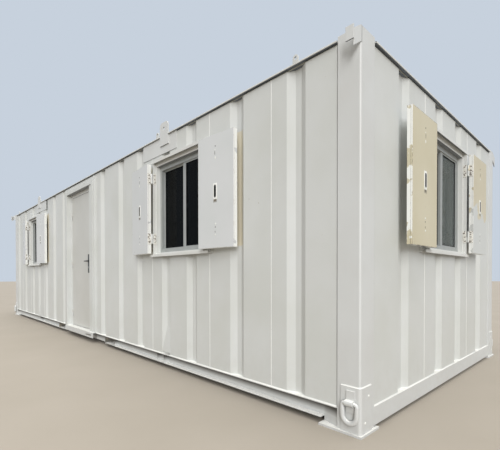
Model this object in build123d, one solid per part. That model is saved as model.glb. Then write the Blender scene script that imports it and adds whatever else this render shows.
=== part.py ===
"""A portable steel site cabin with a corrugated skin, shuttered windows and one door.

Millimetres, +Z up. The cabin stands on four foot plates at z = 0. Its long front,
with the door, faces -Y, and its window end faces +X. The origin is on the ground under
the middle of the whole outline, the folded-back shutters included.
"""

import os

from build123d import *

# Overall size of the box frame, over the faces of the corner posts
LENGTH = 9754.0
WIDTH = 3048.0
POST_TOP = 2463.0
ROOF_TOP = 2438.0

# Corner posts, their feet, their cover plates and their caps
POST_SIZE = 165.0
POST_WALL = 5.0
POST_CORNER_R = 12.0
CAP_THICK = 8.0
FOOT_THICK = 15.0
FOOT_PROUD = 18.0
FOOT_ALONG_LENGTH = 300.0
FOOT_ALONG_WIDTH = 200.0
COVER_THICK = 8.0
COVER_TOP = 295.0
COVER_ALONG_LENGTH = 135.0
COVER_ALONG_WIDTH = 127.0

# Bottom rails: channels with their toes outwards on the long sides, inwards on the ends
RAIL_BOTTOM = 45.0
END_RAIL_BOTTOM = 25.0
RAIL_TOP = 143.0
RAIL_DEPTH = 50.0
RAIL_STEEL = 6.0
RAIL_END = 297.0
GUSSET_SET_BACK = 10.0

# Fork pockets right through the base
POCKET_FROM_MIDDLE = 1064.0
POCKET_WIDTH = 326.0
POCKET_STEEL = 4.0

# Stiffener plates in the long rails, under the lifting lugs
STIFFENED_AT = (2377.0, 2517.0)

# Floor
JOIST_PITCH = 560.0
JOIST_COUNT = 16
JOIST_WIDTH = 45.0
JOIST_STEEL = 4.0
END_JOIST_FROM_FACE = 200.0
DECK_THICK = 18.0

# Corrugated walls: folded sheet outside, insulation and lining inside
WALL_SET_BACK = 10.0
WALL_THICK = 100.0
WALL_TOP = 2422.0
POST_JOINT_WIDTH = 10.0
POST_JOINT_DEPTH = 20.0
VALLEY_DEPTH = 30.0
VALLEY_MOUTH = 173.0
VALLEY_FLOOR = 54.0
VALLEYS_RIGHT_OF_MIDDLE = (822.0, 1435.0, 1969.0, 2552.0, 3037.0, 3712.0, 4357.0)
VALLEYS_LEFT_OF_MIDDLE = (935.0, 1523.0, 2073.0, 2618.0, 3098.0, 3795.0, 4468.0)
END_VALLEYS = (-917.0, -233.0, 270.0, 953.0)
WEDGE_BOTTOM = 165.0
WEDGE_TOP = 440.0

# Roof
CEILING_THICK = 60.0
ROOF_SHADOW_GAP = 10.0
ROOF_SHADOW_SET_BACK = 19.0
ROOF_OVERHANG = 12.0
TRIM_STEEL = 3.0
TRIM_TOP_LEG = 60.0

# Door portal, measured along the front from the cabin's middle, +X to the right
PORTAL_RIGHT = 561.0
PORTAL_LEFT = -845.0
RECESS_RIGHT = 321.0
RECESS_LEFT = -697.0
PORTAL_TOP = 2397.0
RECESS_TOP = 2300.0
PORTAL_PROUD = 6.0
BAND_PROUD = 20.0
BAND_WIDTH = 53.0
BAND_FROM_RECESS = 112.0
EDGE_BAND_WIDTH = 28.0

# Door sill
SILL_STEEL = 6.0
SILL_PROUD = 46.0
SILL_BOTTOM = 73.0
SILL_SLOT_LENGTH = 230.0
SILL_SLOT_HEIGHT = 20.0
SILL_SLOT_FROM_END = 62.0

# Door frame and leaf
FRAME_FACE = 65.0
FRAME_HEAD = 50.0
LEAF_SET_BACK = 50.0
LEAF_THICK = 40.0
LEAF_GAP = 5.0
STOP_LAP = 15.0
LEAF_OVER_SILL = 7.0

# Door hinges
DOOR_HINGE_HEIGHTS = (350.0, 1150.0, 1950.0)
DOOR_HINGE_OUT = 9.0
DOOR_HINGE_SIDE = 3.0
DOOR_HINGE_PLATE = 45.0
DOOR_HINGE_STEEL = 3.0

# Hinge barrels of the door and of the shutters
BARREL_R = 8.0
BARREL_HEIGHT = 52.0
PIN_R = 4.0
PIN_CLEAR = 0.05
BARREL_GAP = 0.4

# Door handle
HANDLE_BACKSET = 110.0
HANDLE_HEIGHT = 1192.0
BACKPLATE_WIDTH = 50.0
BACKPLATE_ABOVE = 103.0
BACKPLATE_BELOW = 180.0
BACKPLATE_THICK = 8.0
BACKPLATE_CORNER_R = 15.0
HUB_R = 11.0
SPINDLE_R = 6.0
SPINDLE_HOLE_R = 14.0
LEVER_REACH = 120.0
LEVER_OUT = 48.0
LEVER_HEIGHT = 18.0
LEVER_THICK = 11.0
LEVER_TIP_R = 7.0

# Windows: two on the front, mirrored about the middle, and one in the right-hand end
LONG_WINDOW_FROM_MIDDLE = 2835.0
END_WINDOW_FROM_MIDDLE = -94.0
END_WINDOW_DROP = 18.0
WINDOW_WIDTH = 896.0
WINDOW_BOTTOM = 1213.0
WINDOW_TOP = 2140.0
WINDOW_SET_BACK = 35.0
WINDOW_FRAME_FACE = 42.0
WINDOW_FRAME_DEPTH = 55.0
SASH_FACE = 12.0
MEETING_STILE = 50.0
MEETING_FROM_MIDDLE = 25.0
SASH_THICK = 20.0
SASH_GAP = 3.0
SASH_SET_BACK = 10.0
GLASS_THICK = 4.0

# Steel surround of each window, with its drip head and its sill angle
SURROUND_SIDE = 92.0
SURROUND_HEAD = 52.0
SURROUND_FOOT = 41.0
SURROUND_PROUD = 6.0
LINER_STEEL = 3.0
DRIP_OUT = 36.0
DRIP_STEEL = 4.0
DRIP_LIP = 26.0

# Shutters: two leaves to a window, folded back at rest
SHUTTER_WIDTH = 448.0
SHUTTER_BOTTOM = 1207.0
SHUTTER_TOP = 2157.0
SHUTTER_THICK = 40.0
SHUTTER_MEETING_GAP = 6.0
SHUTTER_HINGE_OUT = 54.0
SHUTTER_HINGE_CLEAR = 3.0
SHUTTER_HINGE_SIDE = 12.0
SHUTTER_HINGE_HEIGHTS = (1365.0, 2005.0)
SHUTTER_TAB = 8.0
HINGE_BAR_STEEL = 8.0
HINGE_BAR_OUT = 40.0
SLOT_PLATE_LENGTH = 134.0
SLOT_PLATE_WIDTH = 46.0
SLOT_PLATE_PROUD = 2.5
SLOT_LENGTH = 96.0
SLOT_WIDTH = 17.0
SLOT_DEPTH = 20.0
FOLD_GROOVE = 2.0
FOLD_GROOVE_FROM_FACE = 12.0
LONG_SHUTTER_PAST = 4.5
END_SHUTTER_PAST = 0.0

# Lashing rings at the foot of each post
RING_FROM_CORNER = 60.0
RING_WIDTH = 132.0
RING_BAR_R = 11.5
RING_AXIS_HEIGHT = 200.0
RING_BOTTOM = 62.0
RING_CORNER_R = 20.0
RING_CLEAR = 5.0
RING_SIDE_COUNT = 8
STRAP_WIDTH = 59.0
STRAP_STEEL = 8.0
STRAP_TOP = 274.0
STRAP_BOTTOM = 140.0
STRAP_CLEAR = 0.3

# Corner guides at the top of each post
GUIDE_OUT = 75.0
GUIDE_STEEL = 8.0
GUIDE_DROP = 55.0
GUIDE_HEIGHT = 100.0
GUIDE_WING = 55.0
GUIDE_WING_BOTTOM = 2346.0
GUIDE_WING_TOP = 2428.0

# Lifting lugs on the roof edge
LUG_FROM_MIDDLE = 2547.0
LUG_WIDTH = 168.0
LUG_CORNER_R = 45.0
LUG_EYE_BELOW_TOP = 67.0
LUG_RISE = 134.0
LUG_DROP = 104.0
LUG_STEEL = 12.0
LUG_HOLE_R = 18.0
LUG_CLEAR = 0.3
STIFFENER_RIGHT = 231.0
STIFFENER_LEFT = -491.0
STIFFENER_BOTTOM = 2255.0
STIFFENER_STEEL = 6.0

# Small eyes on the roof edge
EYES_FROM_MIDDLE = (2417.0, 4370.0)
EYE_HALF_WIDTH = 25.0
EYE_CENTRE_HEIGHT = 32.0
EYE_HOLE_R = 11.0
EYE_STEEL = 10.0

# Worked out from the sizes above
WALL_INNER = WALL_SET_BACK + WALL_THICK
HALF_LENGTH = LENGTH / 2
HALF_WIDTH = WIDTH / 2
SILL_TOP = RAIL_TOP + SILL_STEEL
BAND_LEFT = RECESS_LEFT - BAND_WIDTH
BAND_RIGHT = RECESS_RIGHT + BAND_FROM_RECESS + BAND_WIDTH
LEAF_LEFT = RECESS_LEFT + FRAME_FACE + LEAF_GAP
LEAF_RIGHT = RECESS_RIGHT - FRAME_FACE - LEAF_GAP
LEAF_BOTTOM = SILL_TOP + LEAF_OVER_SILL
LEAF_TOP = RECESS_TOP - FRAME_HEAD - LEAF_GAP
DOOR_AXIS_X = LEAF_LEFT - DOOR_HINGE_SIDE
DOOR_AXIS_Y = LEAF_SET_BACK - DOOR_HINGE_OUT
HANDLE_X = LEAF_RIGHT - HANDLE_BACKSET
SHUTTER_AXIS = SHUTTER_HINGE_SIDE + SHUTTER_WIDTH + SHUTTER_MEETING_GAP / 2
LUG_TOP = ROOF_TOP + LUG_RISE
LUG_BOTTOM = ROOF_TOP - LUG_DROP
RING_AXIS_OUT = COVER_THICK + RING_CLEAR + RING_BAR_R

# Each side of the cabin has its own frame: x to the right as seen from outside,
# y into the cabin from the face of the posts, z up from the ground
FRONT = Pos(0, -HALF_WIDTH, 0)
RIGHT = Pos(HALF_LENGTH, 0, 0) * Rot(0, 0, 90)
REAR = Pos(0, HALF_WIDTH, 0) * Rot(0, 0, 180)
LEFT = Pos(-HALF_LENGTH, 0, 0) * Rot(0, 0, -90)
LOWERED = Pos(0, 0, -END_WINDOW_DROP)


def block(x, y, z):
    """A box from three (low, high) pairs, which may come in either order."""
    size = [abs(high - low) for low, high in (x, y, z)]
    middle = [(low + high) / 2 for low, high in (x, y, z)]
    return Pos(*middle) * Box(*size)


def rod(radius, low, high):
    """An upright round bar on the Z axis."""
    return Pos(0, 0, (low + high) / 2) * Cylinder(radius, high - low)


def plan(points, low, high):
    """A plan outline raised from one level to another."""
    face = make_face(Polyline(*points, close=True))
    return Pos(0, 0, low) * extrude(face, high - low, dir=(0, 0, 1))


def side_profile(points, x0, x1):
    """An outline of (y, z) points pushed along x."""
    face = Plane.YZ * make_face(Polyline(*points, close=True))
    return Pos(x0, 0, 0) * extrude(face, x1 - x0, dir=(1, 0, 0))


def cabin_plan(out, low, high):
    """The cabin's plan, stepped round the posts, with its sides out from the posts' faces."""
    x, y = HALF_LENGTH + out, HALF_WIDTH + out
    post_x, post_y = HALF_LENGTH - POST_SIZE, HALF_WIDTH - POST_SIZE
    quarter = [(x, post_y), (post_x, post_y), (post_x, y)]
    points = []
    for turn_x, turn_y in ((1, 1), (-1, 1), (-1, -1), (1, -1)):
        corner = [(turn_x * a, turn_y * b) for a, b in quarter]
        points += corner if turn_x * turn_y > 0 else corner[::-1]
    return plan(points, low, high)


def both_sides(shape):
    """A piece and its mirror image across the middle of its side."""
    return [shape, shape.mirror(Plane.YZ)]


def on_faces(shapes, *faces):
    """The same pieces placed on several sides of the cabin."""
    return [face * shape for face in faces for shape in shapes]


# Base frame


def post_bar(inset, low, high):
    """A bar as wide as a post less an inset, rounded at the cabin's corner."""
    edge = HALF_LENGTH
    bar = block(
        (edge - POST_SIZE + inset, edge - inset), (inset, POST_SIZE - inset), (low, high)
    )
    corner = bar.edges().filter_by(Axis.Z).group_by(Axis.Y)[0].sort_by(Axis.X)[-1]
    return fillet(corner, POST_CORNER_R - inset)


def corner_post():
    """Hollow post with its cap and foot plate, at the right of a long side."""
    edge = HALF_LENGTH
    post = post_bar(0, FOOT_THICK, POST_TOP)
    bore = post_bar(POST_WALL, FOOT_THICK, POST_TOP - CAP_THICK)
    foot = block(
        (edge - FOOT_ALONG_LENGTH, edge + FOOT_PROUD),
        (-FOOT_PROUD, FOOT_ALONG_WIDTH),
        (0, FOOT_THICK),
    )
    return post - bore + foot


def cover_plate():
    """Angle plate round the foot of a post, with the strap that holds its ring."""
    edge = HALF_LENGTH
    sleeve = post_bar(-COVER_THICK, FOOT_THICK, COVER_TOP)
    sleeve -= post_bar(0, FOOT_THICK, COVER_TOP)
    angle = sleeve & block(
        (edge - COVER_ALONG_LENGTH, edge + COVER_THICK),
        (-COVER_THICK, COVER_ALONG_WIDTH),
        (FOOT_THICK, COVER_TOP),
    )
    middle = edge - RING_FROM_CORNER
    reach = (middle - STRAP_WIDTH / 2, middle + STRAP_WIDTH / 2)
    inner_r = RING_BAR_R + STRAP_CLEAR
    outer_r = inner_r + STRAP_STEEL
    bar = Pos(middle, -RING_AXIS_OUT, RING_AXIS_HEIGHT) * Rot(0, 90, 0)
    hoop = bar * Cylinder(outer_r, STRAP_WIDTH)
    loop_height = (RING_AXIS_HEIGHT - outer_r, RING_AXIS_HEIGHT + outer_r)
    hoop += block(reach, (-RING_AXIS_OUT, -COVER_THICK), loop_height)
    hoop -= bar * Cylinder(inner_r, STRAP_WIDTH)
    tail = (-COVER_THICK - STRAP_STEEL, -COVER_THICK)
    tails = block(reach, tail, (RING_AXIS_HEIGHT + outer_r, STRAP_TOP))
    tails += block(reach, tail, (STRAP_BOTTOM, RING_AXIS_HEIGHT - outer_r))
    return angle + hoop + tails


def long_rail():
    """Channel rail along a long side, stiffened, its lower toe cut away between the pockets."""
    reach = HALF_LENGTH - RAIL_END
    to_post = HALF_LENGTH - POST_SIZE
    web_depth = (RAIL_DEPTH - RAIL_STEEL, RAIL_DEPTH)
    height = (RAIL_BOTTOM, RAIL_TOP)
    rail = block((-reach, reach), web_depth, height)
    rail += block((-reach, reach), (0, RAIL_DEPTH), (RAIL_BOTTOM, RAIL_BOTTOM + RAIL_STEEL))
    rail += block((-to_post, to_post), (0, RAIL_DEPTH), (RAIL_TOP - RAIL_STEEL, RAIL_TOP))
    gusset = [
        (reach, web_depth[1]),
        (reach, web_depth[0]),
        (to_post, GUSSET_SET_BACK),
        (to_post, GUSSET_SET_BACK + RAIL_STEEL),
    ]
    for piece in both_sides(plan(gusset, FOOT_THICK, RAIL_TOP)):
        rail += piece
    pocket_edges = [POCKET_FROM_MIDDLE + turn * (POCKET_WIDTH + RAIL_STEEL) / 2 for turn in (-1, 1)]
    for place in mirrored([*STIFFENED_AT, *pocket_edges]):
        plate = (place - RAIL_STEEL / 2, place + RAIL_STEEL / 2)
        rail += block(plate, (0, RAIL_DEPTH), height)
    for side in (-1, 1):
        rail -= block(*pocket_space(side, 0, RAIL_DEPTH, 0))
    between = pocket_edges[0] - RAIL_STEEL / 2
    toe = (RAIL_BOTTOM, RAIL_BOTTOM + RAIL_STEEL)
    return rail - block((-between, between), (0, web_depth[0]), toe)


def pocket_space(side, y0, y1, wall):
    """The box of a fork pocket, outside its steel or inside it."""
    middle = side * POCKET_FROM_MIDDLE
    half = POCKET_WIDTH / 2 - wall
    low = RAIL_BOTTOM + RAIL_STEEL + wall
    high = RAIL_TOP - RAIL_STEEL - wall
    return (middle - half, middle + half), (y0, y1), (low, high)


def fork_pockets():
    """Two flat tubes right through the base, for the forks of a truck."""
    tubes = []
    for side in (-1, 1):
        tube = block(*pocket_space(side, 0, WIDTH, 0))
        tubes.append(tube - block(*pocket_space(side, 0, WIDTH, POCKET_STEEL)))
    return on_faces(tubes, FRONT)


def end_rail():
    """Channel rail across an end, its flat web outwards."""
    half = HALF_WIDTH - POST_SIZE
    web = block((-half, half), (0, RAIL_STEEL), (END_RAIL_BOTTOM, RAIL_TOP))
    head = block((-half, half), (0, RAIL_DEPTH), (RAIL_TOP - RAIL_STEEL, RAIL_TOP))
    foot = block((-half, half), (0, RAIL_DEPTH), (END_RAIL_BOTTOM, END_RAIL_BOTTOM + RAIL_STEEL))
    return web + head + foot


def joist_channel(middle):
    """One channel joist between the webs of the long rails."""
    left = middle - JOIST_WIDTH / 2
    right = middle + JOIST_WIDTH / 2
    run = (RAIL_DEPTH, WIDTH - RAIL_DEPTH)
    joist = block((left, right), run, (RAIL_BOTTOM, RAIL_TOP))
    inside = (RAIL_BOTTOM + JOIST_STEEL, RAIL_TOP - JOIST_STEEL)
    return joist - block((left + JOIST_STEEL, right), run, inside)


def floor_joists():
    """Evenly spaced joists, and one more behind each end rail."""
    first = -JOIST_PITCH * (JOIST_COUNT - 1) / 2
    places = [first + JOIST_PITCH * i for i in range(JOIST_COUNT)]
    end = HALF_LENGTH - END_JOIST_FROM_FACE
    places += [-end, end]
    return on_faces([joist_channel(place) for place in places], FRONT)


# Walls


def wall_panel(edge, left, right, valleys):
    """A run of wall, with an open joint where it ends beside a post at the side's edge."""
    panel = block((left, right), (WALL_SET_BACK, WALL_INNER), (RAIL_TOP, WALL_TOP))
    for middle in valleys:
        if left < middle + VALLEY_MOUTH / 2 and middle - VALLEY_MOUTH / 2 < right:
            panel -= Pos(middle, WALL_SET_BACK, 0) * valley()
    joint = block(
        (edge - POST_JOINT_WIDTH, edge),
        (WALL_SET_BACK, WALL_SET_BACK + POST_JOINT_DEPTH),
        (RAIL_TOP, WALL_TOP),
    )
    for piece in both_sides(joint):
        panel -= piece
    return panel


def valley():
    """The air in one valley, a trapezium in plan that is wider at the face."""
    mouth, floor = VALLEY_MOUTH / 2, VALLEY_FLOOR / 2
    points = [(-mouth, 0), (mouth, 0), (floor, VALLEY_DEPTH), (-floor, VALLEY_DEPTH)]
    return plan(points, RAIL_TOP, WALL_TOP)


def lug_wedge():
    """The sloping foot of the valley under a lifting lug, open below its lowest edge."""
    slope = [(0, WEDGE_BOTTOM), (VALLEY_DEPTH, WEDGE_BOTTOM), (VALLEY_DEPTH, WEDGE_TOP)]
    return valley() & side_profile(slope, -VALLEY_MOUTH / 2, VALLEY_MOUTH / 2)


def mirrored(values):
    """Places on both sides of the middle."""
    return [side * value for side in (-1, 1) for value in values]


def window_hole(middle):
    """The hole that a window takes in its wall."""
    half = WINDOW_WIDTH / 2
    return block((middle - half, middle + half), (0, WALL_INNER), (WINDOW_BOTTOM, WINDOW_TOP))


# Roof


def lug_slots():
    """The room that the lifting lugs take in the roof's edge."""
    half = LUG_WIDTH / 2 + LUG_CLEAR
    slot = block(
        (LUG_FROM_MIDDLE - half, LUG_FROM_MIDDLE + half),
        (-ROOF_OVERHANG - LUG_STEEL, WALL_SET_BACK + LUG_CLEAR),
        (WALL_TOP, LUG_TOP),
    )
    return on_faces(both_sides(slot), FRONT, REAR)


def roof_panel():
    """Roof deck over the walls, with a shadow gap under its edge."""
    split = WALL_TOP + ROOF_SHADOW_GAP
    deck = cabin_plan(ROOF_OVERHANG - TRIM_STEEL, split, ROOF_TOP - TRIM_STEEL)
    deck += cabin_plan(-ROOF_SHADOW_SET_BACK, WALL_TOP, split)
    for slot in lug_slots():
        deck -= slot
    return deck


def roof_edge_trim():
    """Four folded angles that close the roof's edge, between the posts."""
    split = WALL_TOP + ROOF_SHADOW_GAP
    strips = []
    for half, faces in ((HALF_LENGTH, (FRONT, REAR)), (HALF_WIDTH, (LEFT, RIGHT))):
        reach = half - POST_SIZE
        lip = block(
            (-reach, reach), (-ROOF_OVERHANG, TRIM_STEEL - ROOF_OVERHANG), (split, ROOF_TOP)
        )
        leg = block(
            (-reach, reach), (-ROOF_OVERHANG, TRIM_TOP_LEG), (ROOF_TOP - TRIM_STEEL, ROOF_TOP)
        )
        strips += on_faces([lip + leg], *faces)
    cut = []
    for strip in strips:
        for slot in lug_slots():
            strip = strip - slot
        cut.append(strip)
    return cut


# Door


def door_jambs():
    """The panels each side of the door recess, with their raised bands."""
    depth = (-PORTAL_PROUD, WALL_INNER)
    raised = (-BAND_PROUD, -PORTAL_PROUD)
    height = (SILL_TOP, RECESS_TOP)
    right = block((RECESS_RIGHT, PORTAL_RIGHT), depth, height)
    right += block((BAND_RIGHT - BAND_WIDTH, BAND_RIGHT), raised, height)
    right += block((PORTAL_RIGHT - EDGE_BAND_WIDTH, PORTAL_RIGHT), raised, height)
    left = block((PORTAL_LEFT, RECESS_LEFT), depth, height)
    left += block((BAND_LEFT, RECESS_LEFT), raised, height)
    return [FRONT * right, FRONT * left]


def door_head():
    """The panel over the door recess, with the bands that meet those of the jambs."""
    head = block((PORTAL_LEFT, PORTAL_RIGHT), (-PORTAL_PROUD, WALL_INNER), (RECESS_TOP, PORTAL_TOP))
    raised = (-BAND_PROUD, -PORTAL_PROUD)
    head += block((BAND_LEFT, BAND_RIGHT), raised, (RECESS_TOP, RECESS_TOP + BAND_WIDTH))
    head += block(
        (PORTAL_RIGHT - EDGE_BAND_WIDTH, PORTAL_RIGHT), raised, (RECESS_TOP, PORTAL_TOP)
    )
    head += block(
        (PORTAL_LEFT, PORTAL_RIGHT), (WALL_SET_BACK, WALL_INNER), (PORTAL_TOP, WALL_TOP)
    )
    return FRONT * head


def door_sill():
    """Plate under the portal, folded down in front of the rail, with a drain slot."""
    level = (RAIL_TOP, SILL_TOP)
    run = (RECESS_LEFT, PORTAL_RIGHT)
    sill = block((PORTAL_LEFT, PORTAL_RIGHT), (-PORTAL_PROUD, WALL_INNER), level)
    sill += block(run, (-SILL_PROUD, -PORTAL_PROUD), level)
    sill += block(run, (-SILL_PROUD, SILL_STEEL - SILL_PROUD), (SILL_BOTTOM, SILL_TOP))
    slot_right = PORTAL_RIGHT - SILL_SLOT_FROM_END
    slot_middle = (SILL_BOTTOM + RAIL_TOP) / 2
    sill -= block(
        (slot_right - SILL_SLOT_LENGTH, slot_right),
        (-SILL_PROUD, SILL_STEEL - SILL_PROUD),
        (slot_middle - SILL_SLOT_HEIGHT / 2, slot_middle + SILL_SLOT_HEIGHT / 2),
    )
    return FRONT * sill


def door_frame():
    """Rebated steel frame at the back of the recess, with its stop behind the leaf."""
    depth = (LEAF_SET_BACK, WALL_INNER)
    stop = (LEAF_SET_BACK + LEAF_THICK + LEAF_GAP, WALL_INNER)
    height = (SILL_TOP, RECESS_TOP)
    lap = LEAF_GAP + STOP_LAP
    inner_left = RECESS_LEFT + FRAME_FACE
    inner_right = RECESS_RIGHT - FRAME_FACE
    head_low = RECESS_TOP - FRAME_HEAD
    frame = block((RECESS_LEFT, inner_left), depth, height)
    frame += block((inner_right, RECESS_RIGHT), depth, height)
    frame += block((inner_left, inner_right), depth, (head_low, RECESS_TOP))
    frame += block((inner_left, inner_left + lap), stop, height)
    frame += block((inner_right - lap, inner_right), stop, height)
    frame += block((inner_left, inner_right), stop, (head_low - lap, head_low))
    return FRONT * frame


def door_leaf():
    """Flush steel leaf with its half of each hinge."""
    leaf = block(
        (LEAF_LEFT, LEAF_RIGHT), (LEAF_SET_BACK, LEAF_SET_BACK + LEAF_THICK), (LEAF_BOTTOM, LEAF_TOP)
    )
    spindle = Pos(HANDLE_X, LEAF_SET_BACK + LEAF_THICK / 2, HANDLE_HEIGHT) * Rot(90, 0, 0)
    leaf -= spindle * Cylinder(SPINDLE_HOLE_R, LEAF_THICK)
    axis = Pos(DOOR_AXIS_X, DOOR_AXIS_Y, 0)
    for middle in DOOR_HINGE_HEIGHTS:
        low = middle + BARREL_GAP
        high = low + BARREL_HEIGHT
        plate = block(
            (DOOR_AXIS_X, DOOR_AXIS_X + DOOR_HINGE_PLATE),
            (LEAF_SET_BACK - DOOR_HINGE_STEEL, LEAF_SET_BACK),
            (low, high),
        )
        plate += block(
            (DOOR_AXIS_X, DOOR_AXIS_X + BARREL_R), (DOOR_AXIS_Y, LEAF_SET_BACK), (low, high)
        )
        leaf += plate + axis * rod(BARREL_R, low, high)
        leaf -= axis * rod(PIN_R + PIN_CLEAR, low, high)
    return FRONT * leaf


def door_hinges():
    """The frame's half of each hinge, with its pin standing up."""
    axis = Pos(DOOR_AXIS_X, DOOR_AXIS_Y, 0)
    halves = []
    for middle in DOOR_HINGE_HEIGHTS:
        low = middle - BARREL_HEIGHT
        half = block(
            (DOOR_AXIS_X - DOOR_HINGE_PLATE, DOOR_AXIS_X - LEAF_GAP + DOOR_HINGE_SIDE),
            (LEAF_SET_BACK - DOOR_HINGE_STEEL, LEAF_SET_BACK),
            (low, middle),
        )
        half += block(
            (DOOR_AXIS_X - BARREL_R, DOOR_AXIS_X), (DOOR_AXIS_Y, LEAF_SET_BACK), (low, middle)
        )
        half += axis * rod(BARREL_R, low, middle)
        half += axis * rod(PIN_R, middle, middle + BARREL_HEIGHT)
        halves.append(FRONT * half)
    return halves


def handle_plates():
    """Long backplates on both faces of the leaf, bored for the lever's hubs."""
    half = BACKPLATE_WIDTH / 2
    plates = []
    for face, out in ((LEAF_SET_BACK, -1), (LEAF_SET_BACK + LEAF_THICK, 1)):
        depth = (face, face + out * BACKPLATE_THICK)
        height = (HANDLE_HEIGHT - BACKPLATE_BELOW, HANDLE_HEIGHT + BACKPLATE_ABOVE)
        plate = block((HANDLE_X - half, HANDLE_X + half), depth, height)
        plate = fillet(plate.edges().filter_by(Axis.Y), BACKPLATE_CORNER_R)
        bore = Pos(HANDLE_X, sum(depth) / 2, HANDLE_HEIGHT) * Rot(90, 0, 0)
        plates.append(FRONT * (plate - bore * Cylinder(HUB_R + PIN_CLEAR, BACKPLATE_THICK)))
    return plates


def door_lever():
    """Both lever handles with the spindle that joins them through the leaf."""
    turn = Pos(HANDLE_X, 0, HANDLE_HEIGHT) * Rot(90, 0, 0)
    front, back = LEAF_SET_BACK, LEAF_SET_BACK + LEAF_THICK
    lever = turn * Pos(0, 0, -(front + back) / 2) * Cylinder(SPINDLE_R, LEAF_THICK)
    for face, out in ((front, -1), (back, 1)):
        hub_end = face + out * LEVER_OUT
        lever += turn * Pos(0, 0, -(face + hub_end) / 2) * Cylinder(HUB_R, LEVER_OUT)
        arm = block(
            (HANDLE_X - LEVER_REACH, HANDLE_X),
            (hub_end, hub_end - out * LEVER_THICK),
            (HANDLE_HEIGHT - LEVER_HEIGHT / 2, HANDLE_HEIGHT + LEVER_HEIGHT / 2),
        )
        lever += fillet(arm.edges().filter_by(Axis.Y).sort_by(Axis.X)[:2], LEVER_TIP_R)
    return FRONT * lever


# Windows


def window_surround(middle):
    """Flat steel surround with its liner, drip head, sill angle and upright hinge bars."""
    half = WINDOW_WIDTH / 2
    outer = half + SURROUND_SIDE
    low, high = WINDOW_BOTTOM - SURROUND_FOOT, WINDOW_TOP + SURROUND_HEAD
    plate = block((-outer, outer), (-SURROUND_PROUD, WALL_SET_BACK), (low, high))
    plate += block((-half, half), (-SURROUND_PROUD, WINDOW_SET_BACK), (WINDOW_BOTTOM, WINDOW_TOP))
    plate -= block(
        (LINER_STEEL - half, half - LINER_STEEL),
        (-SURROUND_PROUD, WINDOW_SET_BACK),
        (WINDOW_BOTTOM + LINER_STEEL, WINDOW_TOP - LINER_STEEL),
    )
    out = -SURROUND_PROUD - DRIP_OUT
    for top in (low + DRIP_LIP, high):
        level = top - DRIP_STEEL
        plate += block((-outer, outer), (out, -SURROUND_PROUD), (level, top))
        plate += block((-outer, outer), (out, out + DRIP_STEEL), (top - DRIP_LIP, level))
    for side in (-1, 1):
        axis_x = side * SHUTTER_AXIS
        bar = (axis_x - HINGE_BAR_STEEL / 2, axis_x + HINGE_BAR_STEEL / 2)
        plate += block(bar, (-HINGE_BAR_OUT, -SURROUND_PROUD), (low + DRIP_LIP, high - DRIP_STEEL))
        for height in SHUTTER_HINGE_HEIGHTS:
            foot = height - BARREL_HEIGHT
            plate += block(bar, (-SHUTTER_HINGE_OUT, -HINGE_BAR_OUT), (foot, height))
            axis = Pos(axis_x, -SHUTTER_HINGE_OUT, 0)
            plate += axis * rod(BARREL_R, foot, height)
            plate += axis * rod(PIN_R, height, height + BARREL_HEIGHT)
    return Pos(middle, 0, 0) * plate


def window_frame(middle):
    """Aluminium outer frame that fills the hole in the wall."""
    half = WINDOW_WIDTH / 2
    depth = (WINDOW_SET_BACK, WINDOW_SET_BACK + WINDOW_FRAME_DEPTH)
    frame = block((-half, half), depth, (WINDOW_BOTTOM, WINDOW_TOP))
    inner = half - WINDOW_FRAME_FACE
    frame -= block(
        (-inner, inner), depth, (WINDOW_BOTTOM + WINDOW_FRAME_FACE, WINDOW_TOP - WINDOW_FRAME_FACE)
    )
    return Pos(middle, 0, 0) * frame


def sash_span(side):
    """Where a sash runs from and to, and the depth of its face; the right one is in front."""
    inner = WINDOW_WIDTH / 2 - WINDOW_FRAME_FACE
    meeting = (MEETING_FROM_MIDDLE - MEETING_STILE / 2, MEETING_FROM_MIDDLE + MEETING_STILE / 2)
    track = WINDOW_SET_BACK + SASH_SET_BACK
    if side < 0:
        return -inner, meeting[1], track + SASH_THICK + SASH_GAP
    return meeting[0], inner, track


def sash_box(side, bar, stile, thick):
    """A slab that fills a sash, less its bars and its meeting stile, centred in its thickness."""
    low, high, depth = sash_span(side)
    middle = depth + SASH_THICK / 2
    rail = WINDOW_FRAME_FACE + bar
    left, right = (bar, stile) if side < 0 else (stile, bar)
    return block(
        (low + left, high - right),
        (middle - thick / 2, middle + thick / 2),
        (WINDOW_BOTTOM + rail, WINDOW_TOP - rail),
    )


def window_sashes(middle):
    """Two sliding sashes that pass behind each other at the middle."""
    sashes = []
    for side in (-1, 1):
        rim = sash_box(side, 0, 0, SASH_THICK)
        rim -= sash_box(side, SASH_FACE, MEETING_STILE, SASH_THICK)
        sashes.append(Pos(middle, 0, 0) * rim)
    return sashes


def window_glass(middle):
    """A pane in each sash."""
    place = Pos(middle, 0, 0)
    panes = [sash_box(side, SASH_FACE, MEETING_STILE, GLASS_THICK) for side in (-1, 1)]
    return [place * pane for pane in panes]


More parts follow.
